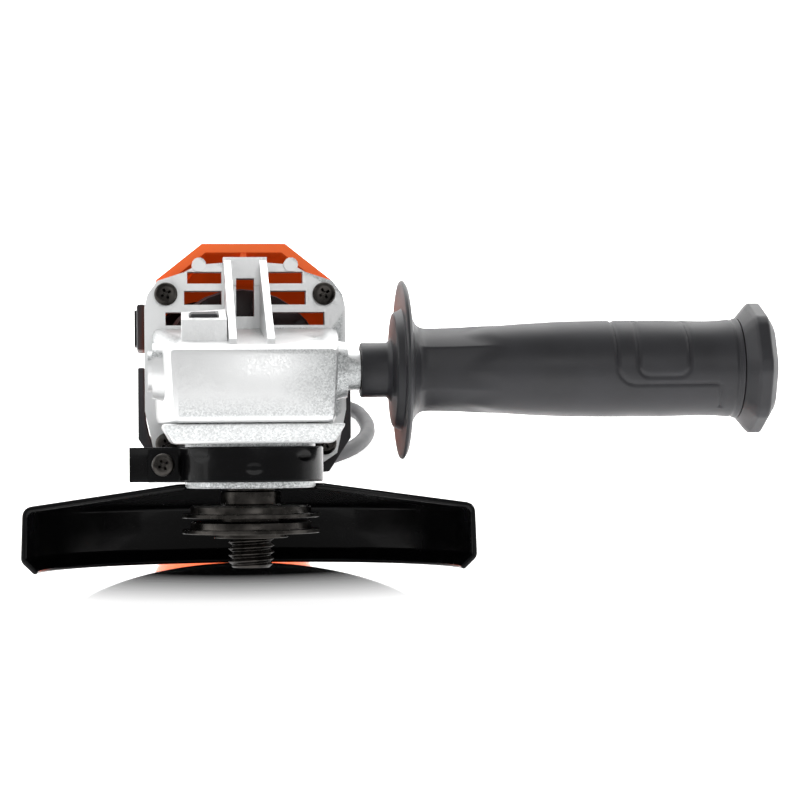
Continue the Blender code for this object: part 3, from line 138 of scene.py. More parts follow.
def silver_painted_casting():
    """Die-cast aluminium under metallic paint: bright flakes 0.25 mm across in a pale grey coat, orange peel
    about 2 mm long, and bare metal showing a little where the edges are sharp."""
    made, tree, shader, where = start("silver_painted_die_cast_aluminium", 0.36, Metallic=0.55)
    shader.inputs["Coat Weight"].default_value = 0.25
    shader.inputs["Coat Roughness"].default_value = 0.22
    flakes = add_node(tree, "ShaderNodeTexVoronoi", {"Vector": where, "Scale": 1000.0 / 0.42})
    tone = add_node(tree, "ShaderNodeSeparateColor", {"Color": flakes.outputs["Color"]}).outputs["Red"]
    cloud = grain(tree, where, 9.0)
    flake = mixed(tree, spread(tree, tone, 0.0, 1.0), colour("#8f9293"), colour("#e6e8e8"))
    body = mixed(tree, spread(tree, cloud, 0.35, 0.65, 0.0, 0.35), flake, colour("#c8cbcb"))
    edge = add_node(tree, "ShaderNodeNewGeometry").outputs["Pointiness"]
    worn = spread(tree, edge, 0.53, 0.60)
    tree.links.new(mixed(tree, worn, body, colour("#eceded")), shader.inputs["Base Color"])
    tree.links.new(spread(tree, tone, 0.0, 1.0, 0.28, 0.50), shader.inputs["Roughness"])
    peel = relief(tree, shader, grain(tree, where, 1.6), 0.05, 0.5)
    relief(tree, shader, tone, 0.02, 0.35, peel)
    return made


def black_stove_enamel():
    """Gloss black enamel on pressed steel: deep black, orange peel 3 mm long and a little dust."""
    made, tree, shader, where = start("black_stove_enamel_on_pressed_steel", 0.24, Specular_IOR_Level=0.10)
    shader.inputs["Coat Weight"].default_value = 0.08
    shader.inputs["Coat Roughness"].default_value = 0.06
    dust = spread(tree, grain(tree, where, 14.0, 4.0), 0.5, 0.8)
    tree.links.new(mixed(tree, dust, colour("#060607"), colour("#0f0f10")), shader.inputs["Base Color"])
    tree.links.new(spread(tree, dust, 0.0, 1.0, 0.20, 0.36), shader.inputs["Roughness"])
    relief(tree, shader, grain(tree, where, 3.0), 0.06, 0.35)
    return made


def turned_steel(name, low, high, roughness, axis):
    """Steel turned on a lathe: tool marks 0.35 mm apart round the axis, metallic, a fine haze."""
    made, tree, shader, where = start(name, roughness, Metallic=1.0)
    turned = add_node(tree, "ShaderNodeMapping", {"Vector": where, "Rotation": axis.to_euler(),
                                                  "Location": axis.translation}, vector_type="POINT")
    marks = add_node(tree, "ShaderNodeTexWave", {"Vector": turned.outputs["Vector"],
                                                 "Scale": 1000.0 / 0.35 / 20.0, "Distortion": 1.5,
                                                 "Detail": 2.0}, bands_direction="Z")
    stain = spread(tree, grain(tree, where, 6.0, 3.0), 0.4, 0.7)
    tree.links.new(mixed(tree, stain, colour(low), colour(high)), shader.inputs["Base Color"])
    tree.links.new(spread(tree, stain, 0.0, 1.0, roughness * 0.8, roughness * 1.3),
                   shader.inputs["Roughness"])
    relief(tree, shader, marks.outputs["Fac"], 0.02, 0.3)
    return made


def moulded_nylon(name, base, light, roughness, grain_mm, depth_mm, fleck):
    """Glass-filled nylon from a spark-eroded mould: matt grain, slight flow marks, paler rubbed spots."""
    made, tree, shader, where = start(name, roughness, IOR=1.53, Specular_IOR_Level=0.36)
    if name.startswith("orange"):
        # Painted glow: a small orange emission stands in for light shining through the thin pigmented wall.
        shader.inputs["Emission Color"].default_value = colour("#ff5a14")
        shader.inputs["Emission Strength"].default_value = 0.12
    flow = add_node(tree, "ShaderNodeMapping", {"Vector": where, "Scale": (60.0, 18.0, 60.0)})
    streak = add_node(tree, "ShaderNodeTexNoise", {"Vector": flow.outputs["Vector"], "Scale": 1.0,
                                                   "Detail": 3.0}).outputs["Fac"]
    tree.links.new(mixed(tree, spread(tree, streak, 0.35, 0.7, 0.0, fleck), colour(base), colour(light)),
                   shader.inputs["Base Color"])
    tree.links.new(spread(tree, streak, 0.3, 0.7, roughness - 0.06, roughness + 0.08),
                   shader.inputs["Roughness"])
    relief(tree, shader, grain(tree, where, grain_mm, 3.0, 0.6), depth_mm, 0.5)
    return made


def gripped_nylon():
    """Black nylon with a moulded diamond pattern, 2.2 mm between rows, over a fine grain; the grooves are painted
    darker as shade.
    """
    made, tree, shader, where = start("black_nylon_with_moulded_grip", 0.52, IOR=1.53)
    own = add_node(tree, "ShaderNodeMapping", {"Vector": where, "Rotation": TOOL.inverted().to_euler()})
    split = add_node(tree, "ShaderNodeSeparateXYZ", {"Vector": own.outputs["Vector"]})
    turn = math.pi / 0.0022
    waves = []
    for sign in (1.0, -1.0):
        slope = add_node(tree, "ShaderNodeMath", {0: split.outputs["Z"], 1: sign, 2: split.outputs["Y"]},
                         operation="MULTIPLY_ADD").outputs[0]
        phase = add_node(tree, "ShaderNodeMath", {0: slope, 1: turn}, operation="MULTIPLY").outputs[0]
        wave = add_node(tree, "ShaderNodeMath", {0: phase}, operation="SINE").outputs[0]
        waves.append(add_node(tree, "ShaderNodeMath", {0: wave}, operation="ABSOLUTE").outputs[0])
    diamond = add_node(tree, "ShaderNodeMath", {0: waves[0], 1: waves[1]}, operation="MINIMUM").outputs[0]
    raised = spread(tree, diamond, 0.05, 0.45)
    # Painted shade: the grooves between the raised diamonds get the darker colour and the raised tops the lighter.
    tree.links.new(mixed(tree, raised, colour("#1c1c1e"), colour("#2b2b2d")), shader.inputs["Base Color"])
    under = relief(tree, shader, grain(tree, where, 0.5), 0.03, 0.4)
    relief(tree, shader, raised, 0.35, 0.7, under)
    return made


def rubber_sheath():
    """Black PVC-rubber cord sheath: soft sheen, fine extrusion haze and a trace of dust."""
    made, tree, shader, where = start("black_extruded_rubber_sheath", 0.55, IOR=1.52)
    dust = spread(tree, grain(tree, where, 11.0, 4.0), 0.45, 0.8)
    tree.links.new(mixed(tree, dust, colour("#2e2e30"), colour("#48484b")), shader.inputs["Base Color"])
    tree.links.new(spread(tree, dust, 0.0, 1.0, 0.48, 0.68), shader.inputs["Roughness"])
    relief(tree, shader, grain(tree, where, 0.8), 0.03, 0.4)
    return made


def wound_copper():
    """Enamelled copper wire 0.5 mm thick laid side by side under varnish: bands of copper and dark gaps."""
    made, tree, shader, where = start("varnished_copper_winding", 0.3, Metallic=0.9)
    wires = add_node(tree, "ShaderNodeTexWave", {"Vector": where, "Scale": 1000.0 / 0.5 / 20.0,
                                                 "Distortion": 0.6},
                     bands_direction="DIAGONAL").outputs["Fac"]
    tree.links.new(mixed(tree, wires, colour("#5a2a12"), colour("#c9743a")), shader.inputs["Base Color"])
    relief(tree, shader, wires, 0.12, 0.7)
    return made


def stacked_sheets():
    """Stamped iron sheets 0.5 mm thick, pressed into a stack: fine stripes across the motor axis."""
    made, tree, shader, where = start("stacked_stamped_iron_sheets", 0.45, Metallic=0.85)
    own = add_node(tree, "ShaderNodeMapping", {"Vector": where, "Rotation": TOOL.inverted().to_euler()})
    stripes = add_node(tree, "ShaderNodeTexWave", {"Vector": own.outputs["Vector"],
                                                   "Scale": 1000.0 / 0.5 / 20.0, "Distortion": 0.3},
                       bands_direction="Y").outputs["Fac"]
    tree.links.new(mixed(tree, stripes, colour("#4a4a4d"), colour("#8b8b8e")), shader.inputs["Base Color"])
    relief(tree, shader, stripes, 0.05, 0.6)
    return made


def pressed_carbon():
    """Pressed and baked carbon: matt black with pores 0.3 mm across."""
    made, tree, shader, where = start("pressed_baked_carbon", 0.75)
    pores = grain(tree, where, 0.3, 3.0)
    tree.links.new(mixed(tree, pores, colour("#0e0e0f"), colour("#2a2a2b")), shader.inputs["Base Color"])
    relief(tree, shader, pores, 0.04, 0.6)
    return made


def copper_alloy(name, low, high):
    """Brass or bronze, pressed or turned: warm yellow, a light tarnish in patches."""
    made, tree, shader, where = start(name, 0.28, Metallic=1.0)
    stain = grain(tree, where, 3.0, 4.0)
    tree.links.new(mixed(tree, spread(tree, stain, 0.35, 0.7), colour(low), colour(high)),
                   shader.inputs["Base Color"])
    tree.links.new(spread(tree, stain, 0.3, 0.7, 0.2, 0.42), shader.inputs["Roughness"])
    relief(tree, shader, grain(tree, where, 0.4), 0.01, 0.4)
    return made


SILVER = silver_painted_casting()
ENAMEL = black_stove_enamel()
BLACK_STEEL = turned_steel("blackened_turned_steel", "#2e2c2a", "#4e4b48", 0.30, TOOL.inverted())
BARE_STEEL = turned_steel("ground_bare_steel", "#8d8f92", "#b9bbbd", 0.28, TOOL.inverted())
PIN_METAL = turned_steel("nickel_plated_brass_pin", "#b5b3ac", "#d6d4cd", 0.2, Matrix.Identity(4))
BRONZE = copper_alloy("turned_bronze", "#8a6230", "#c99b55")
COPPER = wound_copper()
IRON = stacked_sheets()
CARBON = pressed_carbon()
ORANGE = moulded_nylon("orange_moulded_nylon", "#ff6a1e", "#ff7c38", 0.42, 0.7, 0.03, 0.7)
BLACK_NYLON = moulded_nylon("black_moulded_nylon", "#242427", "#333337", 0.46, 0.6, 0.035, 0.8)
GRIP_NYLON = gripped_nylon()
HANDLE_PLASTIC = moulded_nylon("black_moulded_handle_plastic", "#232326", "#2f2f33", 0.42, 0.45, 0.03, 0.7)
RUBBER = rubber_sheath()

FINISH = {"cast_metal": SILVER, "guard_paint": ENAMEL, "black_steel": BLACK_STEEL, "bare_steel": BARE_STEEL,
          "bronze": BRONZE, "copper": COPPER, "laminated_iron": IRON, "carbon": CARBON,
          "orange_plastic": ORANGE, "black_plastic": BLACK_NYLON, "handle_plastic": HANDLE_PLASTIC,
          "cord_rubber": RUBBER}
SLOT_OF = {row["node"]: row["material_slot"] for row in frame["record"]["subparts"]}
BODY_OF = {node: body for body, members in frame["record"]["behaviour"]["bodies"].items() for node in members}

for name, node in nodes.items():
    node.data.materials.clear()
    node.data.materials.append(FINISH[SLOT_OF[name]])

# ---------------------------------------------------------------- mesh tools


def quads(rows, columns, wrap_rows=False, wrap_columns=True, first=0):
    """Faces of a grid of points, row by row; a wrapped side joins its last line to its first."""
    i = np.arange(rows if wrap_rows else rows - 1)[:, None]
    j = np.arange(columns if wrap_columns else columns - 1)[None, :]
    a, b = i * columns + j, i * columns + (j + 1) % columns
    c, d = ((i + 1) % rows) * columns + (j + 1) % columns, ((i + 1) % rows) * columns + j
    return np.stack([a, b, c, d], -1).reshape(-1, 4) + first


def piece(name, shells, finish, like, place=None, flat_angle=38.0, caps=()):
    """Object from shells of (points, faces), placed by a matrix, merged, with outward normals.

    It takes the body of the CAD node like. caps lists rings of point numbers to close.
    """
    points, faces, first = [], [], 0
    for shell_points, shell_faces in shells:
        points.append(np.asarray(shell_points, float).reshape(-1, 3))
        faces += (np.asarray(shell_faces) + first).tolist()
        first += len(points[-1])
    faces += [list(map(int, ring)) for ring in caps]
    everything = np.concatenate(points)
    if place is not None:
        matrix = np.array(place, float)
        everything = everything @ matrix[:3, :3].T + matrix[:3, 3]
    mesh = bpy.data.meshes.new(name)
    mesh.from_pydata(everything.tolist(), [], faces)
    made = bpy.data.objects.new(name, mesh)
    bpy.context.scene.collection.objects.link(made)
    tidy(mesh, flat_angle)
    return dress(made, finish, like)


def tidy(mesh, flat_angle):
    """Merges doubled points, drops empty faces, turns the normals outwards and smooths below the angle."""
    shape = bmesh.new()
    shape.from_mesh(mesh)
    bmesh.ops.remove_doubles(shape, verts=shape.verts, dist=2e-6)
    bmesh.ops.dissolve_degenerate(shape, dist=1e-7, edges=shape.edges)
    bmesh.ops.recalc_face_normals(shape, faces=shape.faces)
    limit = math.radians(flat_angle)
    for face in shape.faces:
        face.smooth = True
    for edge in shape.edges:
        edge.smooth = len(edge.link_faces) == 2 and edge.calc_face_angle(0.0) < limit
    shape.to_mesh(mesh)
    shape.free()


def dress(made, finish, like):
    made.data.materials.clear()
    made.data.materials.append(finish)
    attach(made, BODY_OF[like])
    return made


def bevelled(made, width, segments=2, angle=40.0):
    """Rounds the sharp edges by a live Bevel, the same in every view."""
    edge = made.modifiers.new("rounded_edges", "BEVEL")
    edge.width = width
    edge.segments = segments
    edge.limit_method = "ANGLE"
    edge.angle_limit = math.radians(angle)
    edge.harden_normals = True
    return made


def carried(node, finish, width, segments=2, angle=35.0, name=None):
    """A merged copy of a CAD node with whole flat faces, rounded edges and a finish, in the node's place."""
    mesh = nodes[node].data.copy()
    shape = bmesh.new()
    shape.from_mesh(mesh)
    bmesh.ops.remove_doubles(shape, verts=shape.verts, dist=1e-5)
    bmesh.ops.dissolve_limit(shape, angle_limit=math.radians(0.6), verts=shape.verts, edges=shape.edges)
    shape.to_mesh(mesh)
    shape.free()
    made = bpy.data.objects.new(name or node + "_finished", mesh)
    bpy.context.scene.collection.objects.link(made)
    tidy(mesh, 34.0)
    bevelled(made, width, segments, angle)
    dress(made, finish, node)
    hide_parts(node)
    return made


def rounded(corners, steps=5):
    """A path through corners of (u, v, radius), each corner rounded by an arc of its radius."""
    points = [np.array(corner[:2], float) for corner in corners]
    made = [points[0]]
    for i in range(1, len(corners) - 1):
        radius = corners[i][2]
        before, after = points[i - 1] - points[i], points[i + 1] - points[i]
        before, after = before / np.linalg.norm(before), after / np.linalg.norm(after)
        half = math.acos(max(-1.0, min(1.0, float(before @ after)))) / 2
        if radius <= 0 or half > 1.56:
            made.append(points[i])
            continue
        reach = radius / math.tan(half)
        reach = min(reach, np.linalg.norm(points[i - 1] - points[i]) * 0.49,
                    np.linalg.norm(points[i + 1] - points[i]) * 0.49)
        a, b = points[i] + before * reach, points[i] + after * reach
        t = np.linspace(0, 1, steps + 1)[:, None]
        made += list((1 - t) ** 2 * a + 2 * t * (1 - t) * points[i] + t ** 2 * b)
    made.append(points[-1])
    return np.array(made)


def turned(profile, steps, angles=None):
    """Surface of revolution: (radius, height) carried round Z, x = r cos a, y = r sin a, z = height."""
    profile = np.asarray(profile, float)
    angle = np.arange(steps) * 2 * math.pi / steps if angles is None else np.asarray(angles)
    points = np.empty((len(profile), len(angle), 3))
    points[..., 0] = profile[:, :1] * np.cos(angle)
    points[..., 1] = profile[:, :1] * np.sin(angle)
    points[..., 2] = profile[:, 1:2]
    return points, quads(len(profile), len(angle))


def cut(made, cutters):
    """Takes the cutters' shape out of a finished mesh and removes them."""
    for cutter in cutters:
        away = made.modifiers.new("cut", "BOOLEAN")
        away.operation = "DIFFERENCE"
        away.solver = "EXACT"
        away.object = cutter
    graph = bpy.context.evaluated_depsgraph_get()
    result = bpy.data.meshes.new_from_object(made.evaluated_get(graph))
    made.modifiers.clear()
    made.data = result
    for cutter in cutters:
        bpy.data.objects.remove(cutter)
    tidy(made.data, 34.0)
    return made


def cutter(points, place=None):
    """Convex cutter from points, for cut()."""
    shape = bmesh.new()
    for point in points:
        shape.verts.new(point)
    bmesh.ops.convex_hull(shape, input=shape.verts)
    bmesh.ops.recalc_face_normals(shape, faces=shape.faces)
    mesh = bpy.data.meshes.new("cutter")
    shape.to_mesh(mesh)
    shape.free()
    if place is not None:
        mesh.transform(place)
    made = bpy.data.objects.new("cutter", mesh)
    bpy.context.scene.collection.objects.link(made)
    return made


# ---------------------------------------------------------------- camera

eye = Vector((-0.0304, -0.7680, 0.0367))
YAW, PITCH, ROLL = math.radians(5.7), math.radians(1.15), math.radians(0.5)
look = Vector((math.sin(YAW) * math.cos(PITCH), math.cos(YAW) * math.cos(PITCH), math.sin(PITCH)))
side = look.cross(Vector((0, 0, 1))).normalized()
over = side.cross(look).normalized()
rolled = over * math.cos(ROLL) + side * math.sin(ROLL)
axes = Matrix((look.cross(rolled), rolled, -look)).transposed().to_4x4()
lens = bpy.data.cameras.new("camera")
lens.lens = 112.5
lens.sensor_width = 36.0
lens.clip_start = 0.05
lens.clip_end = 50.0
camera = bpy.data.objects.new("camera", lens)
camera.matrix_world = TOOL @ Matrix.Translation(eye) @ axes
bpy.context.scene.collection.objects.link(camera)
bpy.context.scene.camera = camera

# ---------------------------------------------------------------- cord, its coil and its plug

CORD_RADIUS = 0.0031
COIL_CENTRE = np.array((0.0120, 0.4060))
coil_low, coil_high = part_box("cord_coil")
bench_shift = np.array([(coil_low[i] + coil_high[i]) / 2 for i in (0, 1)]) - COIL_CENTRE
ROUTE = [
    (0.0030, 0.3240, 0.0045), (0.0130, 0.3410, 0.0005), (0.0300, 0.3495, 0.0), (0.0470, 0.3430, 0.0),
    (0.0580, 0.3230, 0.0), (0.0605, 0.3000, 0.0), (0.0600, 0.2780, 0.0), (0.0560, 0.2560, 0.0),
    (0.0470, 0.2330, 0.0), (0.0310, 0.2120, 0.0), (0.0090, 0.2010, 0.0), (-0.0120, 0.2060, 0.0),
    (-0.0240, 0.2250, 0.0), (-0.0268, 0.2500, 0.0), (-0.0268, 0.2800, 0.0), (-0.0275, 0.3150, 0.0),
    (-0.0300, 0.3500, 0.0), (-0.0328, 0.3780, 0.0),
]
FLOOR = CORD_RADIUS + 0.0002
TURNS = [(0.0419, 0.0), (0.0351, 0.0), (0.0283, 0.0), (0.0283, 0.0063), (0.0351, 0.0063), (0.0419, 0.0063),
         (0.0356, 0.0125)]


def coil_points(per_turn=24):
    """Clockwise turns, each a circle that eases into the next: the height by a smoothstep over 0.35 to 0.65
    of the turn, the radius over the rest; then a stretch that widens and climbs on to the plug."""
    rows = []
    for number, (radius, rise) in enumerate(TURNS):
        after = TURNS[number + 1] if number + 1 < len(TURNS) else (0.0285, 0.0125)
        t = np.arange(per_turn) / per_turn
        inward, lift = np.clip((t - 0.65) / 0.35, 0, 1), np.clip((t - 0.35) / 0.3, 0, 1)
        inward, lift = (share * share * (3 - 2 * share) for share in (inward, lift))
        angle = math.pi - 2 * math.pi * t
        r = radius + (after[0] - radius) * inward
        rows.append(np.stack([r * np.cos(angle), r * np.sin(angle),
                              FLOOR + rise + (after[1] - rise) * lift], -1))
    angle = np.radians(np.arange(180, 89, -11))
    v = (math.pi - angle) / (math.pi - math.radians(83))
    r = 0.0285 + 0.0057 * v * v * (3 - 2 * v)
    rows.append(np.stack([r * np.cos(angle), r * np.sin(angle), FLOOR + 0.0125 + 0.0080 * v], -1))
    bend = np.radians([85, 68, 51, 34, 17, 0])
    rows.append(np.stack([0.0040 + 0.0250 * np.cos(bend), 0.0090 + 0.0250 * np.sin(bend),
                          FLOOR + 0.0235 - 0.0030 * np.clip(bend / bend[0], 0, 1)], -1))
    made = np.concatenate(rows)
    made[:, :2] += COIL_CENTRE
    return made


def smooth(points, steps):
    """Catmull-Rom through the points: at t the cubic whose slope at each point is half the chord round it."""
    p = np.concatenate([[2 * points[0] - points[1]], points, [2 * points[-1] - points[-2]]])
    a, b, c, d = (p[i:len(p) - 3 + i][:, None] for i in range(4))
    t = (np.arange(steps) / steps)[None, :, None]
    made = 0.5 * (2 * b + (c - a) * t + (2 * a - 5 * b + 4 * c - d) * t ** 2
                  + (3 * b - a - 3 * c + d) * t ** 3)
    return np.concatenate([made.reshape(-1, 3), points[-1:]])


CORD_GUARD_END_Y, CORD_GUARD_Z = 0.2850, 0.0620
exit_at = TOOL @ Vector((0, CORD_GUARD_END_Y + 0.0003, CORD_GUARD_Z))
free = [np.array(exit_at), np.array(exit_at + back * 0.0140)]
free += [np.array((x + bench_shift[0], y + bench_shift[1], FLOOR + lift)) for x, y, lift in ROUTE]
wound = coil_points() + np.array((*bench_shift, 0.0))
line = smooth(np.concatenate([free, wound]), 3)

curve = bpy.data.curves.new("mains_cord", "CURVE")
curve.dimensions = "3D"
curve.bevel_depth = CORD_RADIUS
curve.bevel_resolution = 3
curve.use_fill_caps = True
spline = curve.splines.new("POLY")
spline.points.add(len(line) - 1)
spline.points.foreach_set("co", np.concatenate([line, np.ones((len(line), 1))], 1).ravel())
spline.use_smooth = True
mains_cord = bpy.data.objects.new("mains_cord", curve)
bpy.context.scene.collection.objects.link(mains_cord)
dress(mains_cord, RUBBER, "cord")
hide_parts("cord", "cord_coil")


def ribbed_cord_guard():
    """Tapered strain relief: the radius falls evenly along it, and drops between ribs 2.6 mm apart where a
    raised cosine is low."""
    y = np.linspace(0.2420, CORD_GUARD_END_Y - 0.0012, 110)
    taper = 0.0060 - 0.0016 * (y - 0.2420) / 0.043
    wave = 0.5 + 0.5 * np.cos((y - 0.2420) / 0.0026 * 2 * math.pi)
    depth = 0.0008 * np.clip((y - 0.2450) / 0.004, 0, 1)
    outer = np.stack([taper + 0.0004 - depth * (wave < 0.45), y], 1)
    head = np.array([(0.0, 0.2365), (0.0084, 0.2365), (0.0088, 0.2369), (0.0088, 0.2386), (0.0084, 0.2390),
                     (0.0064, 0.2396), (0.0062, 0.2410)])
    tail = np.array([(0.0044, CORD_GUARD_END_Y - 0.0006), (0.0041, CORD_GUARD_END_Y),
                     (0.0032, CORD_GUARD_END_Y), (0.0, CORD_GUARD_END_Y)])
    place = TOOL @ Matrix.Translation((0, 0, CORD_GUARD_Z)) @ Matrix.Rotation(-math.pi / 2, 4, "X")
    made = piece("strain_relief", [turned(np.concatenate([head, outer, tail]), 48)], RUBBER, "cord_guard",
                 place)
    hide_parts("cord_guard")
    return made


def plug_pieces():
    """Moulded two-pin plug: a superellipse section whose half width and half height follow the length."""
    low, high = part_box("plug")
    middle = np.array([(low[0] + high[0]) / 2, high[1], (low[2] + high[2]) / 2])
    rows = [(-0.0330, 0.0112, 0.0066, 4.0), (-0.0324, 0.0120, 0.0074, 4.0), (-0.0230, 0.0120, 0.0075, 4.0),
            (-0.0190, 0.0108, 0.0074, 3.2), (-0.0150, 0.0076, 0.0068, 2.4), (-0.0128, 0.0062, 0.0060, 2.0),
            (-0.0118, 0.0055, 0.0055, 2.0), (-0.0112, 0.0050, 0.0050, 2.0)]
    for ring in range(4):
        y = -0.0100 + 0.0024 * ring
        r = 0.0054 - 0.0004 * ring
        rows += [(y - 0.0004, r, r, 2.0), (y + 0.0008, r, r, 2.0), (y + 0.0010, r - 0.0008, r - 0.0008, 2.0),
                 (y + 0.0018, r - 0.0008, r - 0.0008, 2.0)]
    rows.append((0.0, 0.0036, 0.0036, 2.0))
    y, wide, high_half, power = np.array(rows).T[:, :, None]
    a = (np.arange(64) * 2 * math.pi / 64)[None, :]
    c, s = np.cos(a), np.sin(a)
    points = np.stack([np.sign(c) * np.abs(c) ** (2 / power) * wide, np.broadcast_to(y, (len(rows), 64)),
                       np.sign(s) * np.abs(s) ** (2 / power) * high_half], -1)
    count = len(rows)
    body = piece("plug_body", [(points, quads(count, 64))], RUBBER, "plug",
                 Matrix.Translation(Vector(middle)), 40.0,
                 [range(64), range((count - 1) * 64, count * 64)])
    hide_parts("plug")
    pins = []
    for word, x in (("left", -0.0080), ("right", 0.0080)):
        profile = [(0.0, 0.0320), (0.0012, 0.0320), (0.0020, 0.0310), (0.0020, 0.0225), (0.0020, 0.0125),
                   (0.0, 0.0125)]
        place = Matrix.Translation(Vector(middle) + Vector((x, -0.0200, 0)))
        place = place @ Matrix.Rotation(math.pi / 2, 4, "X")
        pins.append(piece(f"plug_pin_{word}", [turned(profile, 32)], PIN_METAL, "plug", place))
    return [body, *pins]


def coil_tie():
    """Rubber strap round the coil's section: a rounded rectangle of radius and height, 7 mm wide."""
    inner, outer, top = 0.0245, 0.0456, 0.0194
    loop = rounded([(0.0350, 0.0001, 0), (outer, 0.0001, 0.0035), (outer, top, 0.0035), (inner, top, 0.0035),
                    (inner, 0.0001, 0.0035), (0.0350, 0.0001, 0)], 6)[:-1]
    middle = loop.mean(0)
    thin = middle + (loop - middle) * np.array((0.93, 0.90))
    place = Matrix.Translation((*(COIL_CENTRE + bench_shift), 0.0))
    place = place @ Matrix.Rotation(math.radians(-115), 4, "Z")
    count = len(loop)
    edges = ((loop, -0.0035), (loop, 0.0035), (thin, 0.0035), (thin, -0.0035))
    points = np.concatenate([np.stack([ring[:, 0], np.full(count, y), ring[:, 1]], -1) for ring, y in edges])
    strap = piece("coil_tie", [(points, quads(4, count, wrap_rows=True))], RUBBER, "cord_coil", place)
    return bevelled(strap, 0.0003)


strain_relief = ribbed_cord_guard()
plug = plug_pieces()
coil_tie()

# ---------------------------------------------------------------- guard and its clamp


def guard_shell():
    """Pressed half dish: its middle line of radius and height is thickened to both sides by half the sheet,
    and the half thickness falls as a quarter circle over the last 0.9 mm before each end."""
    half_sheet, bore = 0.0009, 0.0206
    line = rounded([(bore, 0.0259, 0), (0.0225, 0.0259, 0.002), (0.0686, 0.0194, 0.0026),
                    (0.0691, 0.0040, 0.0020), (0.0657, 0.0007, 0)], 8)
    fine = []
    for a, b in zip(line, line[1:]):
        parts = max(1, int(np.linalg.norm(b - a) / 0.004))
        fine += [a + (b - a) * k / parts for k in range(parts)]
    line = np.array(fine + [line[-1]])
    slope = np.gradient(line, axis=0)
    slope /= np.linalg.norm(slope, axis=1)[:, None]
    normal = np.stack([-slope[:, 1], slope[:, 0]], 1)
    bend = np.linspace(0, math.pi, 7)[1:-1]
    far = [(len(line) - 1, np.cos(t) * normal[-1] + np.sin(t) * slope[-1]) for t in bend]
    near = [(0, -np.cos(t) * normal[0] - np.sin(t) * slope[0]) for t in bend]
    loop = [(i, normal[i]) for i in range(len(line))] + far + [
        (i, -normal[i]) for i in reversed(range(len(line)))] + near
    base = np.array([line[i] for i, _ in loop])
    out = np.array([o for _, o in loop])
    inset = np.array([0.0, 0.00015, 0.00035, 0.0006, 0.0009]) / 0.066
    edge = np.sqrt(np.clip(1 - (1 - inset * 0.066 / 0.0009) ** 2, 0.08, 1))
    angles = np.concatenate([inset, np.linspace(0.03, math.pi - 0.03, 110), math.pi - inset[::-1]])
    share = np.concatenate([edge, np.ones(110), edge[::-1]])
    section = base[None] + out[None] * (half_sheet * share)[:, None, None]
    points = np.stack([section[..., 0] * np.cos(angles)[:, None], section[..., 0] * np.sin(angles)[:, None],
                       section[..., 1]], -1)
    count = len(loop)
    made = piece("guard_dish", [(points, quads(len(angles), count))], ENAMEL, "guard_shell", TOOL, 40.0,
                 [range(count), range((len(angles) - 1) * count, len(angles) * count)])
    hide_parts("guard_shell")
    return made


BAND_LOW_Z, BAND_HIGH_Z = 0.0275, 0.0382


def clamp_band():
    """Strip bent round the collar with two lugs: a rounded section carried along the plan path, its outer
    face sunk by a super-Gaussian at two oval dimples and one larger oval in the middle."""
    ring, fold, slit = 0.0213, 0.0020, 0.0041
    cx = -math.sqrt((ring + fold) ** 2 - (slit + fold) ** 2)
    centre = np.array((cx, -slit - fold))
    lean = math.atan2(slit + fold, -cx)
    bend = np.linspace(math.pi / 2, lean, 8)
    front = centre + fold * np.stack([np.cos(bend), np.sin(bend)], 1)
    first = math.atan2(front[-1, 1], front[-1, 0]) % (2 * math.pi)
    around = np.linspace(first, 2 * math.pi + (2 * math.pi - first), 220)[1:-1]
    circle = ring * np.stack([np.cos(around), np.sin(around)], 1)
    start_lug = np.stack([np.linspace(-0.0312, cx, 12)[:-1], np.full(11, -slit)], 1)
    end_lug = np.stack([np.linspace(cx, -0.0370, 14)[1:], np.full(13, slit)], 1)
    path = np.concatenate([start_lug, front, circle, front[::-1] * (1, -1), end_lug])
    slope = np.gradient(path, axis=0)
    slope /= np.linalg.norm(slope, axis=1)[:, None]
    normal = np.stack([slope[:, 1], -slope[:, 0]], 1)
    half, low, high = 0.0010, BAND_LOW_Z, BAND_HIGH_Z
    n, z = [], []
    for cn, cz, turn in ((half - 0.0005, high - 0.0005, 0), (-half + 0.0005, high - 0.0005, 1),
                         (-half + 0.0005, low + 0.0005, 2), (half - 0.0005, low + 0.0005, 3)):
        t = turn * math.pi / 2 + np.linspace(0, math.pi / 2, 5)
        n += list(cn + 0.0005 * np.cos(t))
        z += list(cz + 0.0005 * np.sin(t))
    z += list(np.linspace(low + 0.0007, high - 0.0007, 26))
    n += [half] * 26
    n, z = np.array(n), np.array(z)
    angle = np.arctan2(path[:, 0], -path[:, 1])
    arc = (angle * 0.0223)[:, None]
    on_ring = (np.abs(np.linalg.norm(path, axis=1) - ring) < 0.0002)[:, None]
    sink = 0.0
    for place, height, wide, tall, depth in ((-0.0172, 0.0352, 0.0026, 0.0012, 0.00025),
                                             (0.0172, 0.0352, 0.0026, 0.0012, 0.00025),
                                             (0.0002, 0.0316, 0.0024, 0.0014, 0.00022)):
        away = ((arc - place) / wide) ** 2 + ((z[None] - height) / tall) ** 2
        sink = sink + depth * np.exp(-away ** 2)
    reach = n[None] - np.where((n[None] > half * 0.9) & on_ring, sink, 0.0)
    points = np.stack([path[:, None, 0] + normal[:, None, 0] * reach,
                       path[:, None, 1] + normal[:, None, 1] * reach, np.broadcast_to(z, reach.shape)], -1)
    count = len(n)
    made = piece("clamp_band", [(points, quads(len(path), count))], ENAMEL, "guard_clamp_band", TOOL, 40.0,
                 [range(count), range((len(path) - 1) * count, len(path) * count)])
    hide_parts("guard_clamp_band")
    return made


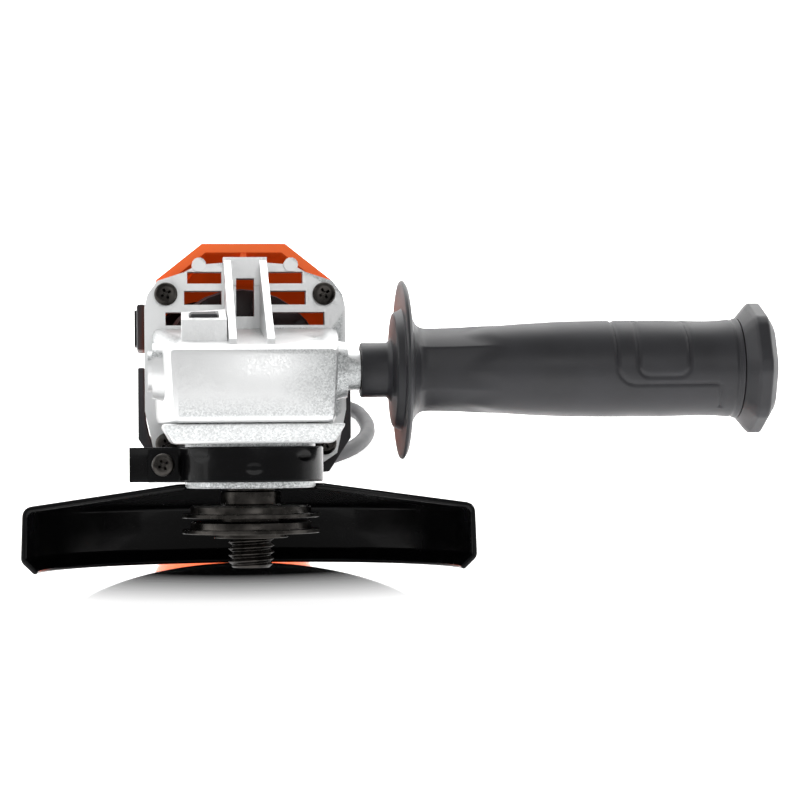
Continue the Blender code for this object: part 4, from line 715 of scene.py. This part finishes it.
def cross_head_screw(name, node, place, head, height, shank, length, finish=BLACK_STEEL):
    """Pan head and shank turned about Z, with two tapered slots crossed in its top."""
    dome = np.linspace(0, math.pi / 2, 9)
    profile = [(0.0, height)]
    profile += [(head - 0.45 * head * (1 - math.sin(t)), height * (0.55 + 0.45 * math.cos(t))) for t in dome]
    profile += [(head, height * 0.45), (head, 0.0002), (head - 0.0002, 0.0), (shank, 0.0), (shank, -length),
                (0.0, -length)]
    made = piece(name, [turned(profile, 48)], finish, node, place)
    reach, wide, deep = head * 0.62, head * 0.13, height * 0.75
    slots = []
    for number in range(2):
        spin = place @ Matrix.Rotation(number * math.pi / 2 + 0.5, 4, "Z")
        slots.append(cutter([(sx * reach * f, sy * wide * g, z) for sx in (1, -1) for sy in (1, -1)
                             for f, g, z in ((1.0, 1.0, height + 0.001), (0.35, 0.6, height - deep))], spin))
    cut(made, slots)
    dress(made, finish, node)
    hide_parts(node)
    return made


def head_screws():
    """Four flange screws along the motor, the clamp screw through the lugs and two through the left cover."""
    toward_front = Matrix.Rotation(math.pi / 2, 4, "X")
    corners = [(0.0253, 0.0872), (-0.0253, 0.0872), (0.0253, 0.0392), (-0.0253, 0.0392)]
    for number, (x, z) in enumerate(corners):
        cross_head_screw(f"flange_screw_{number + 1}", f"gear_case_screw_{number + 1}",
                         TOOL @ Matrix.Translation((x, 0.0337, z)) @ toward_front,
                         0.0037, 0.0026, 0.0019, 0.027)
    lug = Matrix.Translation((-0.0267, -0.0055, (BAND_LOW_Z + BAND_HIGH_Z) / 2))
    cross_head_screw("clamp_screw", "guard_clamp_screw", TOOL @ lug @ toward_front,
                     0.0035, 0.0026, 0.0021, 0.013)
    sideways = Matrix.Rotation(-math.pi / 2, 4, "Y")
    for number, (y, z) in enumerate([(0.1720, 0.0445), (0.2240, 0.0790)]):
        cross_head_screw(f"cover_screw_{number + 1}", f"rear_cover_screw_{number + 1}",
                         TOOL @ Matrix.Translation((-0.0168, y, z)) @ sideways, 0.0034, 0.0024, 0.0018, 0.029)


# ---------------------------------------------------------------- spindle, flange and nut


def threaded_spindle():
    """Turned shaft whose lower end is an M14 x 2 thread: the radius falls from the crest by a 60 degree
    triangle wave of height / pitch minus angle / 2 pi, fading at the chamfered end."""
    pitch, crest, depth, end = 0.0020, 0.0070, 0.0011, 0.0012
    upper = [(0.0, 0.0688), (0.0036, 0.0688), (0.0040, 0.0684), (0.0040, 0.0592), (0.0055, 0.0588),
             (0.0055, 0.0460), (0.0068, 0.0460), (0.0068, 0.0373), (0.0057, 0.0373), (0.0057, 0.0287),
             (0.0090, 0.0287), (0.0090, 0.0249), (0.0069, 0.0249)]
    z = np.linspace(0.0246, end, int((0.0246 - end) / pitch * 14))
    angle = np.arange(72) * 2 * math.pi / 72
    wave = (z[:, None] / pitch - angle[None] / (2 * math.pi)) % 1.0
    cut_in = np.clip(1.15 - np.abs(wave - 0.5) * 2 * 1.3, 0, 1)
    r = crest - depth * cut_in
    r = np.minimum(r, (0.0056 + np.clip(z - end, 0, 1) * 1.0)[:, None])
    thread = np.stack([r * np.cos(angle), r * np.sin(angle), np.broadcast_to(z[:, None], r.shape)], -1)
    top, _ = turned(upper, 72)
    tip, _ = turned([(0.0, end)], 72)
    points = np.concatenate([top, thread, tip])
    made = piece("threaded_spindle", [(points, quads(len(points), 72))], BLACK_STEEL, "spindle", TOOL, 50.0)
    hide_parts("spindle")
    return made


def flange_and_nut():
    """Turned inner flange, and the lock nut with four pin-wrench holes in its face."""
    b = 0.00025
    seat = 0.0171
    flange = [(0.0072, 0.0246), (0.0092 - b, 0.0246), (0.0092, 0.0246 - b), (0.0092, 0.0208),
              (0.0097, 0.0203), (0.0185 - 2 * b, 0.0203), (0.0185, 0.0203 - 2 * b), (0.0185, 0.0181),
              (0.0186, 0.0179),
              (0.0210 - b, 0.0179), (0.0210, 0.0179 - b), (0.0210, 0.0165 + b), (0.0210 - b, 0.0165),
              (0.0187, 0.0165), (0.0187, seat), (0.0072, seat)]
    made = piece("disc_flange", [(turned(flange, 128)[0], quads(len(flange), 128, wrap_rows=True))],
                 BLACK_STEEL, "inner_flange", TOOL, 30.0)
    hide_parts("inner_flange")
    nut = [(0.0072, seat - 0.0003), (0.0108 - b, seat - 0.0003), (0.0108, seat - 0.0003 - b),
           (0.0108, 0.0155), (0.0185 - 2 * b, 0.0155), (0.0185, 0.0155 - 2 * b), (0.0185, 0.0133),
           (0.0186, 0.0131),
           (0.0210 - b, 0.0131), (0.0210, 0.0131 - b), (0.0210, 0.0117 + b), (0.0210 - b, 0.0117),
           (0.0115, 0.0117), (0.0115, 0.0103 + b), (0.0115 - b, 0.0103), (0.0072, 0.0103)]
    made = piece("pin_nut", [(turned(nut, 128)[0], quads(len(nut), 128, wrap_rows=True))], BLACK_STEEL,
                 "lock_nut", TOOL, 30.0)
    holes = []
    for number in range(4):
        a = math.pi / 4 + number * math.pi / 2
        t = np.arange(24) * 2 * math.pi / 24
        ring = [(0.0150 * math.cos(a) + 0.0021 * math.cos(s), 0.0150 * math.sin(a) + 0.0021 * math.sin(s), z)
                for s in t for z in (0.0100, 0.0143)]
        holes.append(cutter(ring, TOOL))
    cut(made, holes)
    dress(made, BLACK_STEEL, "lock_nut")
    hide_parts("lock_nut")


# ---------------------------------------------------------------- side handle


def side_grip():
    """Moulded grip: a profile of radius along the handle axis, facets near the flange whose polygon share
    fades over 20 mm, and grooves 0.55 mm deep where the distance to a drawn line is under half a groove."""
    neck = 0.0084
    front = rounded([(0.0042, 0.0340, 0), (neck - 0.0003, 0.0340, 0), (neck, 0.0343, 0),
                     (neck, 0.0420, 0.001), (0.0098, 0.0434, 0.0012), (0.0176, 0.0440, 0.001),
                     (0.0187, 0.0466, 0.0006),
                     (0.0262, 0.0462, 0.0006), (0.0274, 0.0463, 0.0004), (0.0277, 0.0470, 0.0005),
                     (0.0262, 0.0480, 0.002), (0.0170, 0.0494, 0.004), (0.0126, 0.0520, 0.004),
                     (0.0125, 0.0560, 0)], 5)
    x = np.linspace(0.0562, 0.1515, 230)
    knots_x = [0.0560, 0.0640, 0.0720, 0.0840, 0.0970, 0.1120, 0.1280, 0.1420, 0.1480, 0.1515]
    knots_r = [0.0125, 0.0127, 0.0132, 0.0141, 0.0148, 0.0150, 0.0150, 0.0147, 0.0150, 0.0158]
    r = np.interp(x, knots_x, knots_r)
    kernel = np.hanning(25)
    kernel /= kernel.sum()
    r = np.convolve(np.pad(r, 12, "edge"), kernel, "valid")
    columns = 200
    a = np.arange(columns) * 2 * math.pi / columns
    height = np.concatenate([front[:, 1], x])
    radius = np.concatenate([front[:, 0], r])
    # About the handle axis, local x is the tool's -z and local y its y.
    facet = math.cos(math.pi / 6) / np.cos((a % (math.pi / 3)) - math.pi / 6)
    edge_x = 0.0790 - 0.0045 * np.abs(np.sin(a * 3)) ** 2
    share = np.clip((height[:, None] - 0.0500) / 0.002, 0, 1)
    share = share * np.clip((edge_x[None] - height[:, None]) / 0.010, 0, 1)
    share = share * share * (3 - 2 * share)
    grown = radius[:, None] * (1 + 0.55 * share * (facet[None] * 1.04 - 1))
    # Distance along the surface, down the front and, mirrored, down the back.
    arc = np.arctan2(np.cos(a), np.abs(np.sin(a))) * 0.0150
    u, v = np.meshgrid(height, arc, indexing="ij")

    def corner_line(u0, u1, v0, bend):
        """Distance to a line that runs along u = u0 above v0 and turns along v = v0 to u1, rounded."""
        du, dv = u - u0, v - v0
        inside = np.hypot(np.maximum(bend - du, 0), np.maximum(bend + dv, 0))
        round_part = np.abs(inside - bend)
        upright = np.where(dv < -bend, np.abs(du), 1.0)
        level = np.where((du > bend) & (u < u1), np.abs(dv), 1.0)
        turn = np.where((du <= bend) & (dv >= -bend), round_part, 1.0)
        return np.minimum(np.minimum(upright, level), turn)

    box_u, box_v = np.abs(u - 0.1265) - 0.0045, np.maximum(np.abs(v + 0.0100) - 0.0095, 0)
    d_box = np.hypot(np.maximum(box_u, 0), box_v) + np.minimum(np.maximum(box_u, box_v), 0) - 0.0035
    d_s = corner_line(0.1120, 0.1440, 0.0055, 0.0060)
    d_tail = np.where((v > 0.0055) & (v < 0.0150), np.abs(u - 0.1440 - 0.10 * (v - 0.0055)), 1.0)
    d_ring = np.abs(u - 0.1500)
    away = np.minimum(np.minimum(np.abs(d_box), d_s), np.minimum(d_tail, d_ring))
    groove = 0.00055 * np.exp(-(away / 0.0006) ** 2) * (u > 0.1)
    grown = grown - groove
    points = np.stack([grown * np.cos(a), grown * np.sin(a),
                       np.broadcast_to(height[:, None], grown.shape)], -1)
    inner = [(0.0060, 0.1515), (0.0060, 0.0640), (0.0042, 0.0625)]
    back_wall, _ = turned(inner, columns)
    everything = np.concatenate([points, back_wall])
    made = piece("side_grip", [(everything, quads(len(everything), columns, wrap_rows=True))], HANDLE_PLASTIC,
                 "side_handle_grip", ALONG_HANDLE, 45.0)
    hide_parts("side_handle_grip")
    return made


def grip_end():
    """Flared octagonal end: the polygon radius of a rounded octagon times a profile along the axis."""
    rows = rounded([(0.0, 0.1518, 0), (0.0156, 0.1518, 0.0003), (0.0160, 0.1522, 0.001),
                    (0.0186, 0.1548, 0.002), (0.0194, 0.1558, 0.001), (0.0194, 0.1590, 0.0012),
                    (0.0150, 0.1618, 0.004),
                    (0.0060, 0.1630, 0.004), (0.0, 0.1630, 0)], 6)
    count = 160
    a = np.arange(count) * 2 * math.pi / count
    bend = (a % (math.pi / 4)) - math.pi / 8
    octagon = np.minimum(1.0 / np.cos(bend), 1.045)
    weight = np.clip((rows[:, 0] - 0.0155) / 0.0035, 0, 1)[:, None]
    r = rows[:, :1] * (1 + weight * (octagon[None] - 1))
    r = np.where(rows[:, 1:2] > 0.1588, rows[:, :1] * octagon[None], r)
    points = np.stack([r * np.cos(a), r * np.sin(a), np.broadcast_to(rows[:, 1:2], r.shape)], -1)
    made = piece("grip_end", [(points, quads(len(rows), count))], HANDLE_PLASTIC, "side_handle_end_cap",
                 ALONG_HANDLE, 28.0)
    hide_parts("side_handle_end_cap")
    return made


guard_shell()
clamp_band()
head_screws()
threaded_spindle()
flange_and_nut()
side_grip()
grip_end()

# ---------------------------------------------------------------- castings and mouldings, edges rounded

carried("gear_case", SILVER, 0.0008, 3, name="gear_head_casting")
carried("bearing_cover", SILVER, 0.0005, 2, name="bearing_cover_casting")
carried("motor_housing", ORANGE, 0.0006, 2, name="motor_housing_moulding")
carried("lower_skirt", BLACK_NYLON, 0.0006, 2, name="lower_skirt_moulding")
carried("rear_cover_left", GRIP_NYLON, 0.0005, 2, name="rear_cover_left_moulding")
carried("rear_cover_right", GRIP_NYLON, 0.0005, 2, name="rear_cover_right_moulding")
carried("lock_button", BLACK_NYLON, 0.0003, 2, name="lock_button_moulding")
carried("switch_slider", BLACK_NYLON, 0.0003, 2, name="switch_slider_moulding")
carried("brush_cap_left", BLACK_NYLON, 0.0003, 2, name="brush_cap_left_moulding")
carried("brush_cap_right", BLACK_NYLON, 0.0003, 2, name="brush_cap_right_moulding")

# ---------------------------------------------------------------- floor and light


POLISH_AND_GLOW_HALF_X, POLISH_AND_GLOW_HALF_Y = 0.15, 0.065
POLISH_AND_GLOW_BEHIND = 0.075  # from the spindle to the middle of the mirror-like part, where the painted glow is off


def glossy_table():
    """Wide white table top at the height the tool stands on. Near the tool it is a metallic mirror of the head;
    it fades to a painted white glow, an emission standing in for light on the table, where the root of
    (x / half x)^2 + (y / half y)^2, about a middle behind the spindle, goes from 0.42 to 0.95."""
    made, tree, shader, where = start("white_polished_table_top_painted_glow", 0.07)
    shader.inputs["Emission Color"].default_value = (1, 1, 1, 1)
    middle = (-origin.x / POLISH_AND_GLOW_HALF_X, -(origin.y + POLISH_AND_GLOW_BEHIND) / POLISH_AND_GLOW_HALF_Y, 0.0)
    near = add_node(tree, "ShaderNodeMapping", {"Vector": where, "Location": middle,
                                                "Scale": (1 / POLISH_AND_GLOW_HALF_X, 1 / POLISH_AND_GLOW_HALF_Y, 0.0)})
    reach = add_node(tree, "ShaderNodeVectorMath", {0: near.outputs["Vector"]},
                     operation="LENGTH").outputs["Value"]
    tree.links.new(spread(tree, reach, 0.42, 0.95, 0.94, 0.0), shader.inputs["Metallic"])
    # Painted glow: the emission grows away from the tool so the table reads as brightly lit white; near the tool
    # it is off and the table reads darker.
    tree.links.new(spread(tree, reach, 0.42, 0.95, 0.0, 0.85), shader.inputs["Emission Strength"])
    haze = grain(tree, where, 40.0)
    tree.links.new(mixed(tree, haze, colour("#f6f6f6"), colour("#fcfcfc")), shader.inputs["Base Color"])
    flat_stage("table_top", made, [(-60, -60, -5e-5), (60, -60, -5e-5), (60, 60, -5e-5), (-60, 60, -5e-5)])


def flat_stage(name, finish, corners):
    mesh = bpy.data.meshes.new(name)
    mesh.from_pydata(corners, [], [(0, 1, 2, 3)])
    mesh.materials.append(finish)
    made = bpy.data.objects.new(name, mesh)
    bpy.context.scene.collection.objects.link(made)


def bright_backdrop():
    """Lit white paper 2.6 m behind the tool, so the table mirrors white and the edges catch light."""
    made, tree, shader, where = start("lit_white_backdrop_paper", 0.9)
    shader.inputs["Emission Color"].default_value = (1, 1, 1, 1)
    shader.inputs["Emission Strength"].default_value = 1.0
    fibre = grain(tree, where, 25.0)
    tree.links.new(mixed(tree, fibre, colour("#f2f2f2"), colour("#fafafa")), shader.inputs["Base Color"])
    flat_stage("backdrop", made, [(-6, 2.6, -5e-5), (6, 2.6, -5e-5), (6, 2.6, 4.0), (-6, 2.6, 4.0)])


def soft_box(name, place, aim, wide, tall, watts):
    light = bpy.data.lights.new(name, "AREA")
    light.shape = "RECTANGLE"
    light.size, light.size_y, light.energy = wide, tall, watts
    made = bpy.data.objects.new(name, light)
    made.location = place
    made.rotation_mode = "QUATERNION"
    made.rotation_quaternion = (Vector(aim) - Vector(place)).to_track_quat("-Z", "Y")
    bpy.context.scene.collection.objects.link(made)


glossy_table()
bright_backdrop()
soft_box("overhead", (0.0, 0.55, 0.95), (0.0, 0.05, 0.05), 1.4, 0.9, 8.0)
soft_box("left_side", (-1.1, -0.15, 0.45), (0.0, 0.0, 0.06), 0.6, 0.8, 3.0)
soft_box("right_side", (1.1, 0.15, 0.45), (0.0, 0.0, 0.06), 0.6, 0.8, 2.5)
soft_box("front_fill", (0.15, -1.4, 0.7), (0.0, 0.0, 0.05), 0.5, 0.4, 1.6)

world = bpy.data.worlds.new("studio")
world.use_nodes = True
world.node_tree.nodes["Background"].inputs["Color"].default_value = (1.0, 1.0, 1.0, 1.0)
world.node_tree.nodes["Background"].inputs["Strength"].default_value = 0.45
bpy.context.scene.world = world
bpy.context.scene.view_settings.view_transform = "Standard"

bpy.context.view_layer.update()
